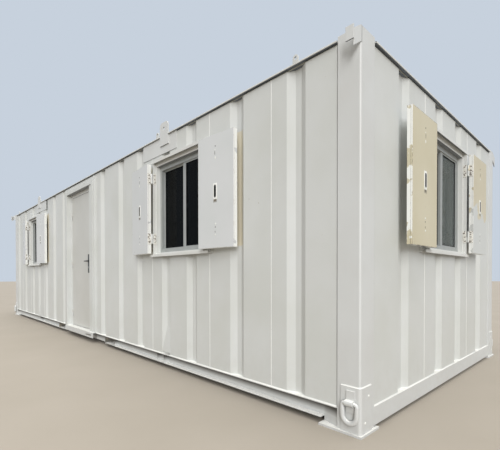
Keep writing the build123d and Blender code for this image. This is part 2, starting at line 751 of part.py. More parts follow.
def shutter(middle, side, past):
    """One shutter leaf, folded back to one side of its window and a little past flat."""
    near, far = SHUTTER_HINGE_SIDE, SHUTTER_HINGE_SIDE + SHUTTER_WIDTH
    back = -SHUTTER_HINGE_CLEAR
    face = back - SHUTTER_THICK
    leaf = block((near, far), (face, back), (SHUTTER_BOTTOM, SHUTTER_TOP))
    fold = (face + FOLD_GROOVE_FROM_FACE, face + FOLD_GROOVE_FROM_FACE + FOLD_GROOVE)
    core_height = (SHUTTER_BOTTOM + FOLD_GROOVE, SHUTTER_TOP - FOLD_GROOVE)
    leaf -= block((near, far), fold, (SHUTTER_BOTTOM, SHUTTER_TOP))
    leaf += block((near + FOLD_GROOVE, far - FOLD_GROOVE), fold, core_height)
    centre = ((near + far) / 2, face, (SHUTTER_BOTTOM + SHUTTER_TOP) / 2)
    plate_at = Plane(origin=centre, x_dir=(0, 0, 1), z_dir=(0, -1, 0)).location
    plate = extrude(SlotOverall(SLOT_PLATE_LENGTH, SLOT_PLATE_WIDTH), SLOT_PLATE_PROUD)
    slot = extrude(SlotOverall(SLOT_LENGTH, SLOT_WIDTH), SLOT_DEPTH + SLOT_PLATE_PROUD)
    leaf += plate_at * plate
    leaf -= plate_at * Pos(0, 0, -SLOT_DEPTH) * slot
    for height in SHUTTER_HINGE_HEIGHTS:
        low = height + BARREL_GAP
        high = low + BARREL_HEIGHT
        leaf += block((0, near), (-SHUTTER_TAB, 0), (low, high)) + rod(BARREL_R, low, high)
        leaf -= rod(PIN_R + PIN_CLEAR, low, high)
    if side < 0:
        leaf = leaf.mirror(Plane.YZ)
    return shutter_axis(middle, side) * Rot(0, 0, side * past) * leaf


def shutter_axis(middle, side):
    """The hinge line of a shutter, in the frame of its side of the cabin."""
    return Pos(middle + side * SHUTTER_AXIS, -SHUTTER_HINGE_OUT, 0)


# Lashing rings, corner guides and lifting lugs


def lashing_ring():
    """Forged ring with a straight top bar, hanging down in its strap."""
    half = RING_WIDTH / 2 - RING_BAR_R
    drop = RING_AXIS_HEIGHT - RING_BOTTOM - RING_BAR_R
    top_left, top_right = (-half, 0), (half, 0)
    centre_low = half - drop
    path = Line((-half + RING_CORNER_R, 0), (half - RING_CORNER_R, 0))
    path += RadiusArc((half - RING_CORNER_R, 0), (half, -RING_CORNER_R), RING_CORNER_R)
    path += Line((half, -RING_CORNER_R), (half, centre_low))
    path += ThreePointArc((half, centre_low), (0, centre_low - half), (-half, centre_low))
    path += Line((-half, centre_low), (-half, -RING_CORNER_R))
    path += RadiusArc((-half, -RING_CORNER_R), (-half + RING_CORNER_R, 0), RING_CORNER_R)
    path = Plane.XZ * path
    section = Plane(origin=path @ 0, z_dir=path % 0) * RegularPolygon(RING_BAR_R, RING_SIDE_COUNT)
    return ring_place() * sweep(section, path=path)


def ring_place():
    """The middle of a ring's top bar, at the right of a long side."""
    return Pos(HALF_LENGTH - RING_FROM_CORNER, -RING_AXIS_OUT, RING_AXIS_HEIGHT)


def corner_guide():
    """Stacking guide on a post: a dropped side plate, cut to the round corner, and its wing."""
    edge = HALF_LENGTH
    high = POST_TOP
    low = high - GUIDE_HEIGHT
    side = side_profile(
        [
            (POST_CORNER_R, high),
            (POST_CORNER_R, low),
            (0, low),
            (-GUIDE_OUT, low - GUIDE_DROP),
            (-GUIDE_OUT, high - GUIDE_DROP),
            (0, high),
        ],
        edge - GUIDE_STEEL,
        edge,
    )
    side -= post_bar(0, low, high)
    wing = block(
        (edge - GUIDE_WING, edge),
        (-GUIDE_OUT - GUIDE_STEEL, -GUIDE_OUT),
        (GUIDE_WING_BOTTOM, GUIDE_WING_TOP),
    )
    return side + wing


def lifting_lug():
    """Eye plate welded to a flat stiffener on the wall, at the right of a long side."""
    half = LUG_WIDTH / 2
    back = WALL_SET_BACK - STIFFENER_STEEL
    plate = block((-half, half), (back - LUG_STEEL, back), (LUG_BOTTOM, LUG_TOP))
    plate = fillet(plate.edges().filter_by(Axis.Y).sort_by(Axis.Z)[2:], LUG_CORNER_R)
    eye = Pos(0, back - LUG_STEEL / 2, LUG_TOP - LUG_EYE_BELOW_TOP) * Rot(90, 0, 0)
    plate -= eye * Cylinder(LUG_HOLE_R, LUG_STEEL)
    plate += block(
        (STIFFENER_LEFT, STIFFENER_RIGHT),
        (back, WALL_SET_BACK),
        (STIFFENER_BOTTOM, WALL_TOP + ROOF_SHADOW_GAP),
    )
    return Pos(LUG_FROM_MIDDLE, 0, 0) * plate


def roof_eye(place):
    """Small eye plate standing on the roof's edge."""
    low, middle = ROOF_TOP, ROOF_TOP + EYE_CENTRE_HEIGHT
    depth = (-ROOF_OVERHANG, EYE_STEEL - ROOF_OVERHANG)
    eye = Pos(0, sum(depth) / 2, middle) * Rot(90, 0, 0)
    plate = block((-EYE_HALF_WIDTH, EYE_HALF_WIDTH), depth, (low, middle))
    plate += eye * Cylinder(EYE_HALF_WIDTH, EYE_STEEL)
    return Pos(place, 0, 0) * (plate - eye * Cylinder(EYE_HOLE_R, EYE_STEEL))


# All nodes

LONG_WALL_EDGE = HALF_LENGTH - POST_SIZE
END_WALL_EDGE = HALF_WIDTH - POST_SIZE
LUG_VALLEY_RIGHT = VALLEYS_RIGHT_OF_MIDDLE[3]
LUG_VALLEY_LEFT = -VALLEYS_LEFT_OF_MIDDLE[3]
FRONT_PLACES = list(VALLEYS_RIGHT_OF_MIDDLE) + [-place for place in VALLEYS_LEFT_OF_MIDDLE]
REAR_PLACES = mirrored(VALLEYS_RIGHT_OF_MIDDLE)
WINDOWS = {
    "front_right": (FRONT, LONG_WINDOW_FROM_MIDDLE, LONG_SHUTTER_PAST),
    "front_left": (FRONT, -LONG_WINDOW_FROM_MIDDLE, LONG_SHUTTER_PAST),
    "end": (RIGHT * LOWERED, END_WINDOW_FROM_MIDDLE, END_SHUTTER_PAST),
}
RINGS = {
    "front_right": (FRONT, 1),
    "front_left": (FRONT, -1),
    "rear_left": (REAR, 1),
    "rear_right": (REAR, -1),
}


def front_wall(left, right, window, lug_valley):
    """One of the two runs of front wall, with its window cut through."""
    wall = wall_panel(LONG_WALL_EDGE, left, right, FRONT_PLACES) - window_hole(window)
    return FRONT * (wall + Pos(lug_valley, WALL_SET_BACK, 0) * lug_wedge())


def rear_wall():
    """The whole wall at the back, which has neither a door nor a window."""
    wall = wall_panel(LONG_WALL_EDGE, -LONG_WALL_EDGE, LONG_WALL_EDGE, REAR_PLACES)
    for place in (LUG_VALLEY_RIGHT, -LUG_VALLEY_RIGHT):
        wall += Pos(place, WALL_SET_BACK, 0) * lug_wedge()
    return REAR * wall


def end_wall():
    """The folded wall between the posts of an end."""
    return wall_panel(HALF_WIDTH, -END_WALL_EDGE, END_WALL_EDGE, END_VALLEYS)


def build():
    """Every node of the cabin, as a list of solids under its name."""
    nodes = {
        "corner_posts": on_faces(both_sides(corner_post()), FRONT, REAR),
        "corner_cover_plates": on_faces(both_sides(cover_plate()), FRONT, REAR),
        "front_rail": [FRONT * long_rail()],
        "rear_rail": [REAR * long_rail()],
        "right_end_rail": [RIGHT * end_rail()],
        "left_end_rail": [LEFT * end_rail()],
        "fork_pockets": fork_pockets(),
        "floor_joists": floor_joists(),
        "floor_deck": [cabin_plan(-WALL_INNER, RAIL_TOP, RAIL_TOP + DECK_THICK)],
        "front_wall_right": [
            front_wall(PORTAL_RIGHT, LONG_WALL_EDGE, LONG_WINDOW_FROM_MIDDLE, LUG_VALLEY_RIGHT)
        ],
        "front_wall_left": [
            front_wall(-LONG_WALL_EDGE, PORTAL_LEFT, -LONG_WINDOW_FROM_MIDDLE, LUG_VALLEY_LEFT)
        ],
        "rear_wall": [rear_wall()],
        "left_end_wall": [LEFT * end_wall()],
        "right_end_wall": [
            RIGHT * (end_wall() - LOWERED * window_hole(END_WINDOW_FROM_MIDDLE))
        ],
        "ceiling_panel": [cabin_plan(-WALL_INNER, WALL_TOP - CEILING_THICK, WALL_TOP)],
        "roof_panel": [roof_panel()],
        "roof_edge_trim": roof_edge_trim(),
        "door_jamb_panels": door_jambs(),
        "door_head_panel": [door_head()],
        "door_sill": [door_sill()],
        "door_frame": [door_frame()],
        "door_leaf": [door_leaf()],
        "door_hinges": door_hinges(),
        "door_handle_plates": handle_plates(),
        "door_lever": [door_lever()],
        "corner_guides": on_faces(both_sides(corner_guide()), FRONT, REAR),
        "lifting_lugs": on_faces(both_sides(lifting_lug()), FRONT, REAR),
        "window_sashes": [],
        "window_glass": [],
    }
    eyes = [roof_eye(place) for place in mirrored(EYES_FROM_MIDDLE)]
    nodes["lifting_lugs"] += on_faces(eyes, FRONT, REAR)
    for name, (face, middle, past) in WINDOWS.items():
        nodes[f"{name}_window_surround"] = [face * window_surround(middle)]
        nodes[f"{name}_window_frame"] = [face * window_frame(middle)]
        nodes["window_sashes"] += on_faces(window_sashes(middle), face)
        nodes["window_glass"] += on_faces(window_glass(middle), face)
        for hand, side in (("right", 1), ("left", -1)):
            nodes[f"{name}_window_{hand}_shutter"] = [face * shutter(middle, side, past)]
    ring = lashing_ring()
    for name, (face, side) in RINGS.items():
        nodes[f"{name}_ring"] = [face * (ring if side > 0 else ring.mirror(Plane.YZ))]
    return nodes


def solids_of(shapes):
    """The plain solids in a list of shapes."""
    return [solid for shape in shapes for solid in shape.solids()]


NODES = {name: solids_of(shapes) for name, shapes in build().items()}
BOXES = [solid.bounding_box() for solids in NODES.values() for solid in solids]
ORIGIN = (
    (min(box.min.X for box in BOXES) + max(box.max.X for box in BOXES)) / 2,
    (min(box.min.Y for box in BOXES) + max(box.max.Y for box in BOXES)) / 2,
    min(box.min.Z for box in BOXES),
)
TO_ORIGIN = Pos(*(-value for value in ORIGIN))

os.makedirs("parts", exist_ok=True)
for node, solids in NODES.items():
    moved = [TO_ORIGIN * solid for solid in solids]
    export_step(moved[0] if len(moved) == 1 else Compound(children=moved), f"parts/{node}.step")
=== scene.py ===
# %% [markdown]
# # A portable site cabin
# The real object is a ten-metre steel cabin for building sites: a welded frame on four feet, walls of
# folded sheet, a door and three windows with steel shutters. Its bare shape comes from CAD and is
# already in place. This lesson gives it paint, rust, glass and light, and adds the small things that
# a drawing office leaves out: weld seams, hinge plates, gaskets, a lever and forged rings.

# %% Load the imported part
from math import radians

import bmesh
import bpy
import numpy as np
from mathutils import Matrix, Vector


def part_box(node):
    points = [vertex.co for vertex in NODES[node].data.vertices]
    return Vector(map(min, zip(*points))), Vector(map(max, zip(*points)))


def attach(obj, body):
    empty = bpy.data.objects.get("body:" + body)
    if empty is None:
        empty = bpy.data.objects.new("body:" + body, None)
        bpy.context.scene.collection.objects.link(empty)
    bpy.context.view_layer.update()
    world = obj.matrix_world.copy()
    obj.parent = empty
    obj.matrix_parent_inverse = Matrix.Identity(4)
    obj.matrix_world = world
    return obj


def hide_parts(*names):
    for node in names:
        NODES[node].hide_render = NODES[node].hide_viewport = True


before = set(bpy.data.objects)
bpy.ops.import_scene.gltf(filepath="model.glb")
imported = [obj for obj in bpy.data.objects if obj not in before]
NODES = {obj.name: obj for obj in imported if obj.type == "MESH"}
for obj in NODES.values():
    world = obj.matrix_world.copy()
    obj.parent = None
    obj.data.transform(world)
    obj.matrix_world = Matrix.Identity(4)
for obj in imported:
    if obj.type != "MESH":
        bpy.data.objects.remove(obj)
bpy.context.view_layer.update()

# %% [markdown]
# ## Where things are
# Every place below is read from the CAD nodes, so nothing needs fitting by eye. The corner posts
# give the face of each side: their foot plates stand a little proud, and that is taken off.

# %% Faces of the cabin
FOOT_PROUD = 0.018
post_low, post_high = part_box("corner_posts")
RIGHT_FACE = post_high.x - FOOT_PROUD
LEFT_FACE = post_low.x + FOOT_PROUD
FRONT_FACE = post_low.y + FOOT_PROUD
REAR_FACE = post_high.y - FOOT_PROUD
MIDDLE_X = (LEFT_FACE + RIGHT_FACE) / 2
MIDDLE_Y = (FRONT_FACE + REAR_FACE) / 2
wall_low, wall_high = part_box("rear_wall")
WALL_BOTTOM, WALL_TOP = wall_low.z, wall_high.z
WALL_SET_BACK = REAR_FACE - wall_high.y
room_low, room_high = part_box("ceiling_panel")
print(f"cabin {RIGHT_FACE - LEFT_FACE:.3f} x {REAR_FACE - FRONT_FACE:.3f} m over the posts")

# %% [markdown]
# ## Camera
# The photograph was taken with a wide phone lens, low down and close to the near corner. Its
# position was worked out from the cabin's own straight edges, which only meet the picture from one
# place. A small shift of the lens stands for the crop that the picture has had.

# %% Camera
CAMERA_FROM_CORNER = (1.1142, -1.8643, 0.9787)
CAMERA_YAW = radians(43.623)
CAMERA_PITCH = radians(-0.616)

lens = bpy.data.cameras.new("camera")
lens.sensor_width = 36.0
lens.lens = 25.574
lens.shift_x, lens.shift_y = -0.0601, 0.1076
lens.clip_start, lens.clip_end = 0.05, 200.0
camera = bpy.data.objects.new("camera", lens)
camera.location = (
    RIGHT_FACE + CAMERA_FROM_CORNER[0],
    FRONT_FACE + CAMERA_FROM_CORNER[1],
    CAMERA_FROM_CORNER[2],
)
camera.rotation_euler = (radians(90) + CAMERA_PITCH, 0, CAMERA_YAW)
bpy.context.collection.objects.link(camera)
bpy.context.scene.camera = camera
bpy.context.scene.view_settings.view_transform = "Standard"
print("camera at", [round(v, 3) for v in camera.location])

# %% [markdown]
# ## Two small helpers for materials
# Paint charts give colours as sRGB hex codes, while Blender mixes light in linear values, so one
# function turns the first into the second. The other adds any node with its settings, colours and
# links, and hands back the socket that the next node reads. A pattern's scale comes from real sizes.

# %% Helpers for materials
def linear(code):
    """Linear colour of an sRGB hex code: small channels divided by 12.92, others a 2.4 power curve."""
    channels = np.array([int(code[i : i + 2], 16) for i in (1, 3, 5)]) / 255
    curve = np.where(channels < 0.04045, channels / 12.92, ((channels + 0.055) / 1.055) ** 2.4)
    return (*curve.tolist(), 1.0)


def add(tree, kind, inputs=None, out=0, **settings):
    """Adds node ShaderNode + kind, sets its properties, fills or links its inputs, returns one output."""
    made = tree.nodes.new("ShaderNode" + kind)
    for name, value in settings.items():
        setattr(made, name, value)
    for name, value in (inputs or {}).items():
        if isinstance(value, bpy.types.NodeSocket):
            tree.links.new(value, made.inputs[name])
        else:
            made.inputs[name].default_value = linear(value) if isinstance(value, str) else value
    return made.outputs[out] if made.outputs else made


MIX = {"data_type": "RGBA", "out": 2}


def grain(size_mm):
    """The scale that makes a pattern's features about that many millimetres, on metre coordinates."""
    return 1000.0 / size_mm


def new_material(name):
    """An empty node material and its tree."""
    material = bpy.data.materials.new(name)
    material.use_nodes = True
    material.node_tree.nodes.clear()
    return material, material.node_tree


print("white paint in linear values:", [round(v, 3) for v in linear("#C8C9C3")])

# %% [markdown]
# ## Floor, world and lamps
# A plain pale floor and a plain pale sky keep the eye on the cabin. The sky that the camera and
# reflections see is a flat colour, while the light itself comes from a dimmer even world and three
# wide lamps. Two shine along the diagonal of the near corner, because in the photograph both sides are
# equally bright and the flanks of the folds that face that way are the brightest of all. The lower one
# also makes the glossy paint of those flanks shine. The third stands for the bright cloud overhead,
# which lights ledges and weld beads more than walls.

# %% Floor and sky
FLOOR_REACH = 60.0
corners = [(x * FLOOR_REACH, y * FLOOR_REACH, 0) for x, y in ((-1, -1), (1, -1), (1, 1), (-1, 1))]
mesh = bpy.data.meshes.new("floor")
mesh.from_pydata(corners, [], [(0, 1, 2, 3)])
floor = bpy.data.objects.new("floor", mesh)
bpy.context.collection.objects.link(floor)
material, tree = new_material("pale_floor")
place = add(tree, "TexCoord", out=3)
mottle = add(tree, "TexNoise", {"Vector": place, "Scale": grain(900), "Detail": 6.0})
tone = add(tree, "Mix", {0: mottle, 6: "#A69D8F", 7: "#B2A99C"}, **MIX)
surface = add(tree, "BsdfPrincipled", {"Base Color": tone, "Roughness": 0.9})
add(tree, "OutputMaterial", {"Surface": surface})
floor.data.materials.append(material)

SKY_SEEN = "#C7D1DD"
EVEN_LIGHT = 0.22
world = bpy.data.worlds.new("world")
world.use_nodes = True
tree = world.node_tree
tree.nodes.clear()
seen = add(tree, "LightPath", out="Is Camera Ray")
rays = seen.node.outputs
for name in ("Is Glossy Ray", "Is Transmission Ray"):
    seen = add(tree, "Math", {0: seen, 1: rays[name]}, operation="MAXIMUM")
even = add(tree, "Background", {"Color": "#FFFFFF", "Strength": EVEN_LIGHT})
sky = add(tree, "Background", {"Color": SKY_SEEN})
both = add(tree, "MixShader", {0: seen, 1: even, 2: sky})
add(tree, "OutputWorld", {"Surface": both})
bpy.context.scene.world = world

# Strength, width in degrees, and turn in degrees
LAMPS = {
    "corner_lamp": (1.45, 28, (54, 0, 51)),
    "low_lamp": (1.33, 18, (76, 0, 47)),
    "cloud_lamp": (2.2, 60, (0, 0, 0)),
}
for name, (strength, spread, turn) in LAMPS.items():
    lamp = bpy.data.lights.new(name, "SUN")
    lamp.energy = strength
    lamp.angle = radians(spread)
    lamp_object = bpy.data.objects.new(name, lamp)
    lamp_object.rotation_euler = [radians(angle) for angle in turn]
    bpy.context.collection.objects.link(lamp_object)
print("floor, sky and", len(LAMPS), "lamps")

# %% [markdown]
# ## Old paint on steel
# The cabin has been painted many times by brush and roller, with the doors and windows in place. Such a
# coat isn't flat: it has fine upright strokes, it is a little darker or warmer from one patch to the
# next, it is dirty near the ground, and it is knocked off along the edges, where rust or an older
# coat shows. All painted pieces share this recipe, with different colours and amounts. The Bevel node
# finds the edges: its softened direction differs from the true one only close to an edge. The height of
# the direction itself tells an upward face, near one, from an underside, near minus one: upward faces get
# a painted highlight in a whiter colour, and undersides a painted shade in a darker one.

# %% Recipe for old paint
def old_paint(name, coat, aged, under, edge_chips=0.5, dirt=0.1, roughness=0.42, below="#787B7E"):
    """Paint with patches, upright strokes, dirt that fades with height, chips along the edges, a painted
    highlight on upward faces and painted shade on undersides.

    Returns its tree, its coordinates, the colour so far, and a function that closes the material
    with a final colour.
    """
    material, tree = new_material(name)
    place = add(tree, "TexCoord", out=3)
    height = add(tree, "SeparateXYZ", {0: place}, out=2)
    patches = add(tree, "TexNoise", {"Vector": place, "Scale": grain(420), "Detail": 3.0})
    patches = add(tree, "MapRange", {"Value": patches, "From Min": 0.35, "From Max": 0.68})
    colour = add(tree, "Mix", {0: patches, 6: coat, 7: aged}, **MIX)

    # Brush and roller strokes: a fine pattern, drawn out upright by its small height scale
    upright = add(tree, "Mapping", {"Vector": place, "Scale": (1.0, 1.0, 0.05)})
    strokes = add(tree, "TexNoise", {"Vector": upright, "Scale": grain(7), "Detail": 4.0})
    stipple = add(tree, "TexNoise", {"Vector": place, "Scale": grain(3), "Detail": 2.0})
    dents = add(tree, "TexNoise", {"Vector": place, "Scale": grain(650), "Detail": 1.0})

    # Dirt splashed up from the ground, gone above knee height
    fade = add(tree, "MapRange", {"Value": height, "From Max": 0.5, "To Min": 1.0, "To Max": 0.0})
    splash = add(tree, "TexNoise", {"Vector": place, "Scale": grain(45), "Detail": 8.0})
    splash = add(tree, "MapRange", {"Value": splash, "From Min": 0.42, "From Max": 0.75})
    splash = add(tree, "Math", {0: splash, 1: fade}, operation="MULTIPLY")
    splash = add(tree, "Math", {0: splash, 1: dirt}, operation="MULTIPLY")
    colour = add(tree, "Mix", {0: splash, 6: colour, 7: "#9C8F7A"}, **MIX)

    # Chips: where a ragged pattern and the nearness of an edge add up to enough
    soft = add(tree, "Bevel", {"Radius": 0.007}, samples=4)
    true = add(tree, "NewGeometry", out=1)
    same = add(tree, "VectorMath", {0: soft, 1: true}, out=1, operation="DOT_PRODUCT")
    edge = add(tree, "MapRange", {"Value": same, "From Min": 1.0, "From Max": 0.80})
    ragged = add(tree, "TexNoise", {"Vector": place, "Scale": grain(38), "Detail": 9.0, "Roughness": 0.66})
    reach = add(tree, "Math", {0: edge, 1: 0.13 * edge_chips, 2: ragged}, operation="MULTIPLY_ADD")
    chips = add(tree, "MapRange", {"Value": reach, "From Min": 0.725, "From Max": 0.74})
    rusty = add(tree, "TexNoise", {"Vector": place, "Scale": grain(16), "Detail": 5.0})
    bare = add(tree, "Mix", {0: rusty, 6: under, 7: "#5B4232"}, **MIX)
    colour = add(tree, "Mix", {0: chips, 6: colour, 7: bare}, **MIX)

    # Painted highlight: faces that look up are whiter. Painted shade: faces that look down take the below
    # colour
    level = add(tree, "SeparateXYZ", {0: true}, out=2)
    ledge_highlight = add(tree, "MapRange", {"Value": level, "From Min": 0.6, "From Max": 0.8})
    underside_shade = add(tree, "MapRange", {"Value": level, "From Min": -0.6, "From Max": -0.8})
    colour = add(tree, "Mix", {0: ledge_highlight, 6: colour, 7: "#F0EFE9"}, **MIX)
    colour = add(tree, "Mix", {0: underside_shade, 6: colour, 7: below}, **MIX)
    soft_edge = add(tree, "Bevel", {"Radius": 0.0025}, samples=4)

    def close(final):
        """Joins the final colour, the gloss and the relief into the surface."""
        relief = soft_edge
        for height, deep, strength in ((dents, 0.012, 0.35), (strokes, 0.0006, 0.5), (stipple, 0.0003, 0.5)):
            relief = {"Height": height, "Distance": deep, "Strength": strength, "Normal": relief}
            relief = add(tree, "Bump", relief)
        relief = add(tree, "Bump", {"Height": chips, "Distance": 0.0004, "Normal": relief}, invert=True)
        gloss = {"Value": strokes, "To Min": roughness - 0.07, "To Max": roughness + 0.10}
        gloss = add(tree, "MapRange", gloss)
        gloss = add(tree, "Math", {0: gloss, 1: chips}, operation="MAXIMUM")
        surface = add(tree, "BsdfPrincipled", {"Base Color": final, "Roughness": gloss, "Normal": relief})
        add(tree, "OutputMaterial", {"Surface": surface})
        return material

    return tree, place, colour, close


print("recipe:", old_paint.__name__)

# %% [markdown]
# ### Where a pattern needs the object's own sides
# The walls are one solid each, painted outside and lined with pale board inside, and a shutter has a
# face, edges and a slot plate of other colours. A box in the cabin's own coordinates picks out such a
# part: the mask is one inside the box and zero outside it. On the wall behind and beside each open front
# shutter, boxes give a warm tan tint of painted shade in the gap behind the leaf.

# %% Box mask
def inside_box(tree, place, low, high, soften=0.0005):
    """One inside a box, zero outside: half its size less the distance from its middle, least of three."""
    centre, half = (np.add(low, high) / 2).tolist(), (np.subtract(high, low) / 2).tolist()
    middle = add(tree, "VectorMath", {0: place, 1: centre}, operation="SUBTRACT")
    away = add(tree, "VectorMath", {0: middle}, operation="ABSOLUTE")
    left = add(tree, "VectorMath", {0: half, 1: away}, operation="SUBTRACT")
    x, y, z = add(tree, "SeparateXYZ", {0: left}).node.outputs
    least = add(tree, "Math", {0: x, 1: y}, operation="MINIMUM")
    least = add(tree, "Math", {0: least, 1: z}, operation="MINIMUM")
    return add(tree, "MapRange", {"Value": least, "From Min": -soften, "From Max": soften})


FRONT_LEAVES = [name for name in NODES if name.startswith("front") and name.endswith("_shutter")]
# Painted warm shade on the wall behind and beside each open front leaf, up to 120 mm deep
WARM_SHADE_BOXES = []
for node in FRONT_LEAVES:
    low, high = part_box(node)
    WARM_SHADE_BOXES.append(((low.x - 0.01, high.y, low.z + 0.03), (high.x + 0.03, high.y + 0.12, high.z + 0.02)))
ROOM = ((room_low.x - 0.002, room_low.y - 0.002, 0.1), (room_high.x + 0.002, room_high.y + 0.002, 3.0))
# Also counts the boxes of painted warm shade beside the front leaves
print("room", [round(b - a, 2) for a, b in zip(*ROOM)], "missed by the brush:", len(WARM_SHADE_BOXES))

# %% [markdown]
# ## Paint for the walls, the frame and the door
# The walls are an off-white gloss that has dulled. The frame, the trims and the cover plates carry the
# same white, but their many edges are chipped. The leaf of the door is a shade greyer. The noise that
# is added to the coordinates before a box is tested gives the warm tan tint behind the front shutters its
# ragged border. The long rails are channels that open outwards, and the web under their top lip gets a
# painted shade, dark just under the lip and fading downwards.

# %% Wall and frame paint
def wall_paint():
    """White enamel over folded sheet, a warm tan tint of painted shade behind the front shutters, and lining
    board indoors.
    """
    tree, place, colour, close = old_paint("white_enamel_on_sheet", "#CACCCA", "#C5C7C3", "#B9AE97", 0.35)
    ragged = add(tree, "TexNoise", {"Vector": place, "Scale": grain(70), "Detail": 6.0})
    wander = add(tree, "VectorMath", {0: ragged, 1: (0.03, 0.03, 0.03)}, operation="MULTIPLY")
    wander = add(tree, "VectorMath", {0: place, 1: wander}, operation="ADD")
    # Painted shade: a warm tan tint in the gap behind and beside each front leaf
    for low, high in WARM_SHADE_BOXES:
        tinted = inside_box(tree, wander, low, high, soften=0.005)
        colour = add(tree, "Mix", {0: tinted, 6: colour, 7: "#D0C9B5"}, **MIX)
    board = add(tree, "TexNoise", {"Vector": place, "Scale": grain(800)})
    board = add(tree, "Mix", {0: board, 6: "#DAD7CB", 7: "#D2CEC0"}, **MIX)
    indoors = inside_box(tree, place, *ROOM)
    return close(add(tree, "Mix", {0: indoors, 6: colour, 7: board}, **MIX))


def plain_paint(*recipe, **more):
    """Old paint with nothing laid over it."""
    tree, place, colour, close = old_paint(*recipe, **more)
    return close(colour)


def rail_paint():
    """Frame paint with painted shade under the lip of the rail, dark at first and fading downwards."""
    tree, place, colour, close = old_paint("white_enamel_on_long_rails", "#CBCDCC", "#C6C7C5", "#A9987C", 0.75)
    height = add(tree, "SeparateXYZ", {0: place}, out=2)
    # Painted shade under the top lip: full just below it, gone 68 mm further down
    lip_shade = add(tree, "MapRange", {"Value": height, "From Min": LIP_SHADE_ENDS, "From Max": LIP_SHADE_THINS})
    below_lip = add(tree, "Math", {0: height, 1: LIP_BOTTOM + 0.0005}, operation="LESS_THAN")
    lip_shade = add(tree, "Math", {0: lip_shade, 1: below_lip}, operation="MULTIPLY")
    return close(add(tree, "Mix", {0: lip_shade, 6: colour, 7: "#484642"}, **MIX))


LIP_BOTTOM = WALL_BOTTOM - 0.006
LIP_SHADE_THINS, LIP_SHADE_ENDS = LIP_BOTTOM - 0.020, LIP_BOTTOM - 0.068
ROOF_SHADE = "#656B73"
white_on_sheet = wall_paint()
white_on_rails = rail_paint()
white_on_frame = plain_paint("white_enamel_on_frame", "#CBCDCC", "#C6C7C5", "#A9987C", 0.75, 0.1)
white_on_trim = plain_paint("white_enamel_on_trim", "#CFD1CF", "#C9CAC7", "#B0A58F", 0.6)
# A lighter white for the roof edge, its hem and the sheet seams is a painted highlight; ROOF_SHADE is painted
# shade on their undersides
white_on_edge = plain_paint("highlight_white_on_roof_edge", "#DFE0DD", "#D8D9D6", "#B0A58F", 0.6, below=ROOF_SHADE)
white_on_door = plain_paint("white_enamel_on_door", "#C1C1BD", "#BBBBB6", "#A9A08C", 0.3)
white_on_surround = plain_paint("white_enamel_on_surround", "#D2D3D1", "#CBCCC7", "#A88F5E", 0.9, 0.0)
# The lightest white, for weld beads, plug welds and weld spots, is a painted highlight
white_on_beads = plain_paint("highlight_white_on_weld_beads", "#E4E5E0", "#DCDDD7", "#A9987C", 0.4, 0.0, 0.34)
grey_on_joists = plain_paint("grey_primer_on_joists", "#6E6C67", "#5E5C57", "#5B4232", 0.8, 0.8)
print("paints ready")

# %% [markdown]
# ## Paint for the shutters
# The front shutters are a cooler, bluer white than the wall, with pure white edges. The pair at the
# end still shows its older cream coat: one leaf is cream all over its face, with white on its edges,
# and the other has been rolled white from below, up to a ragged border. All have a white slot plate with
# a darker patch just under it, and near-black painted shade on their undersides. The edges of the cream
# leaves have had the most knocks.

# %% Shutter paint
def shutter_paint(name, node, coat, aged, under, rolled_to=None, bare_edges=0.62, edge_chips=1.3):
    """Paint for one leaf: its face, white edges, a slot plate with a darker patch under it, and a rolled lower
    part.
    """
    # The leaf's undersides take a near-black painted shade
    tree, place, colour, close = old_paint(name, coat, aged, under, edge_chips, 0.0, below="#2A2724")
    low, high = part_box(node)
    way = 0 if node.startswith("front") else 1
    free_edge, sign = (high[way], -1) if node.endswith("_right_shutter") else (low[way], 1)
    if rolled_to:
        ragged = add(tree, "TexNoise", {"Vector": place, "Scale": grain(140), "Detail": 5.0})
        height = add(tree, "SeparateXYZ", {0: place}, out=2)
        border = add(tree, "Math", {0: ragged, 1: 0.55, 2: height}, operation="MULTIPLY_ADD")
        keep = {"Value": border, "From Min": rolled_to + 0.265, "From Max": rolled_to + 0.285}
        keep = add(tree, "MapRange", keep)
        colour = add(tree, "Mix", {0: keep, 6: "#C6C8C5", 7: colour}, **MIX)
    true = add(tree, "NewGeometry", out=1)
    facing = (0.0, 1.0, 0.0) if way == 0 else (-1.0, 0.0, 0.0)
    turned = add(tree, "VectorMath", {0: true, 1: facing}, out=1, operation="DOT_PRODUCT")
    edges = add(tree, "MapRange", {"Value": turned, "From Min": -0.7, "From Max": -0.5})
    patch = add(tree, "TexNoise", {"Vector": place, "Scale": grain(120), "Detail": 6.0})
    patch = add(tree, "MapRange", {"Value": patch, "From Min": bare_edges, "From Max": bare_edges - 0.02})
    edges = add(tree, "Math", {0: edges, 1: patch}, operation="MULTIPLY")
    colour = add(tree, "Mix", {0: edges, 6: colour, 7: PURE_WHITE}, **MIX)

    # The darker patch and the plate: boxes round the middle of the leaf, right through it
    for across, drop, tall, soften, code in (DARK_UNDER_PLATE, SLOT_PLATE):
        reach = np.array([0.06, 0.06, tall])
        reach[way] = across
        centre = np.array((low + high) / 2)
        centre[way] = free_edge + sign * HALF_LEAF
        centre[2] -= drop
        found = inside_box(tree, place, centre - reach, centre + reach, soften)
        colour = add(tree, "Mix", {0: found, 6: colour, 7: code}, **MIX)
    return close(colour)


HALF_LEAF = 0.224
PURE_WHITE = "#E9EAE6"
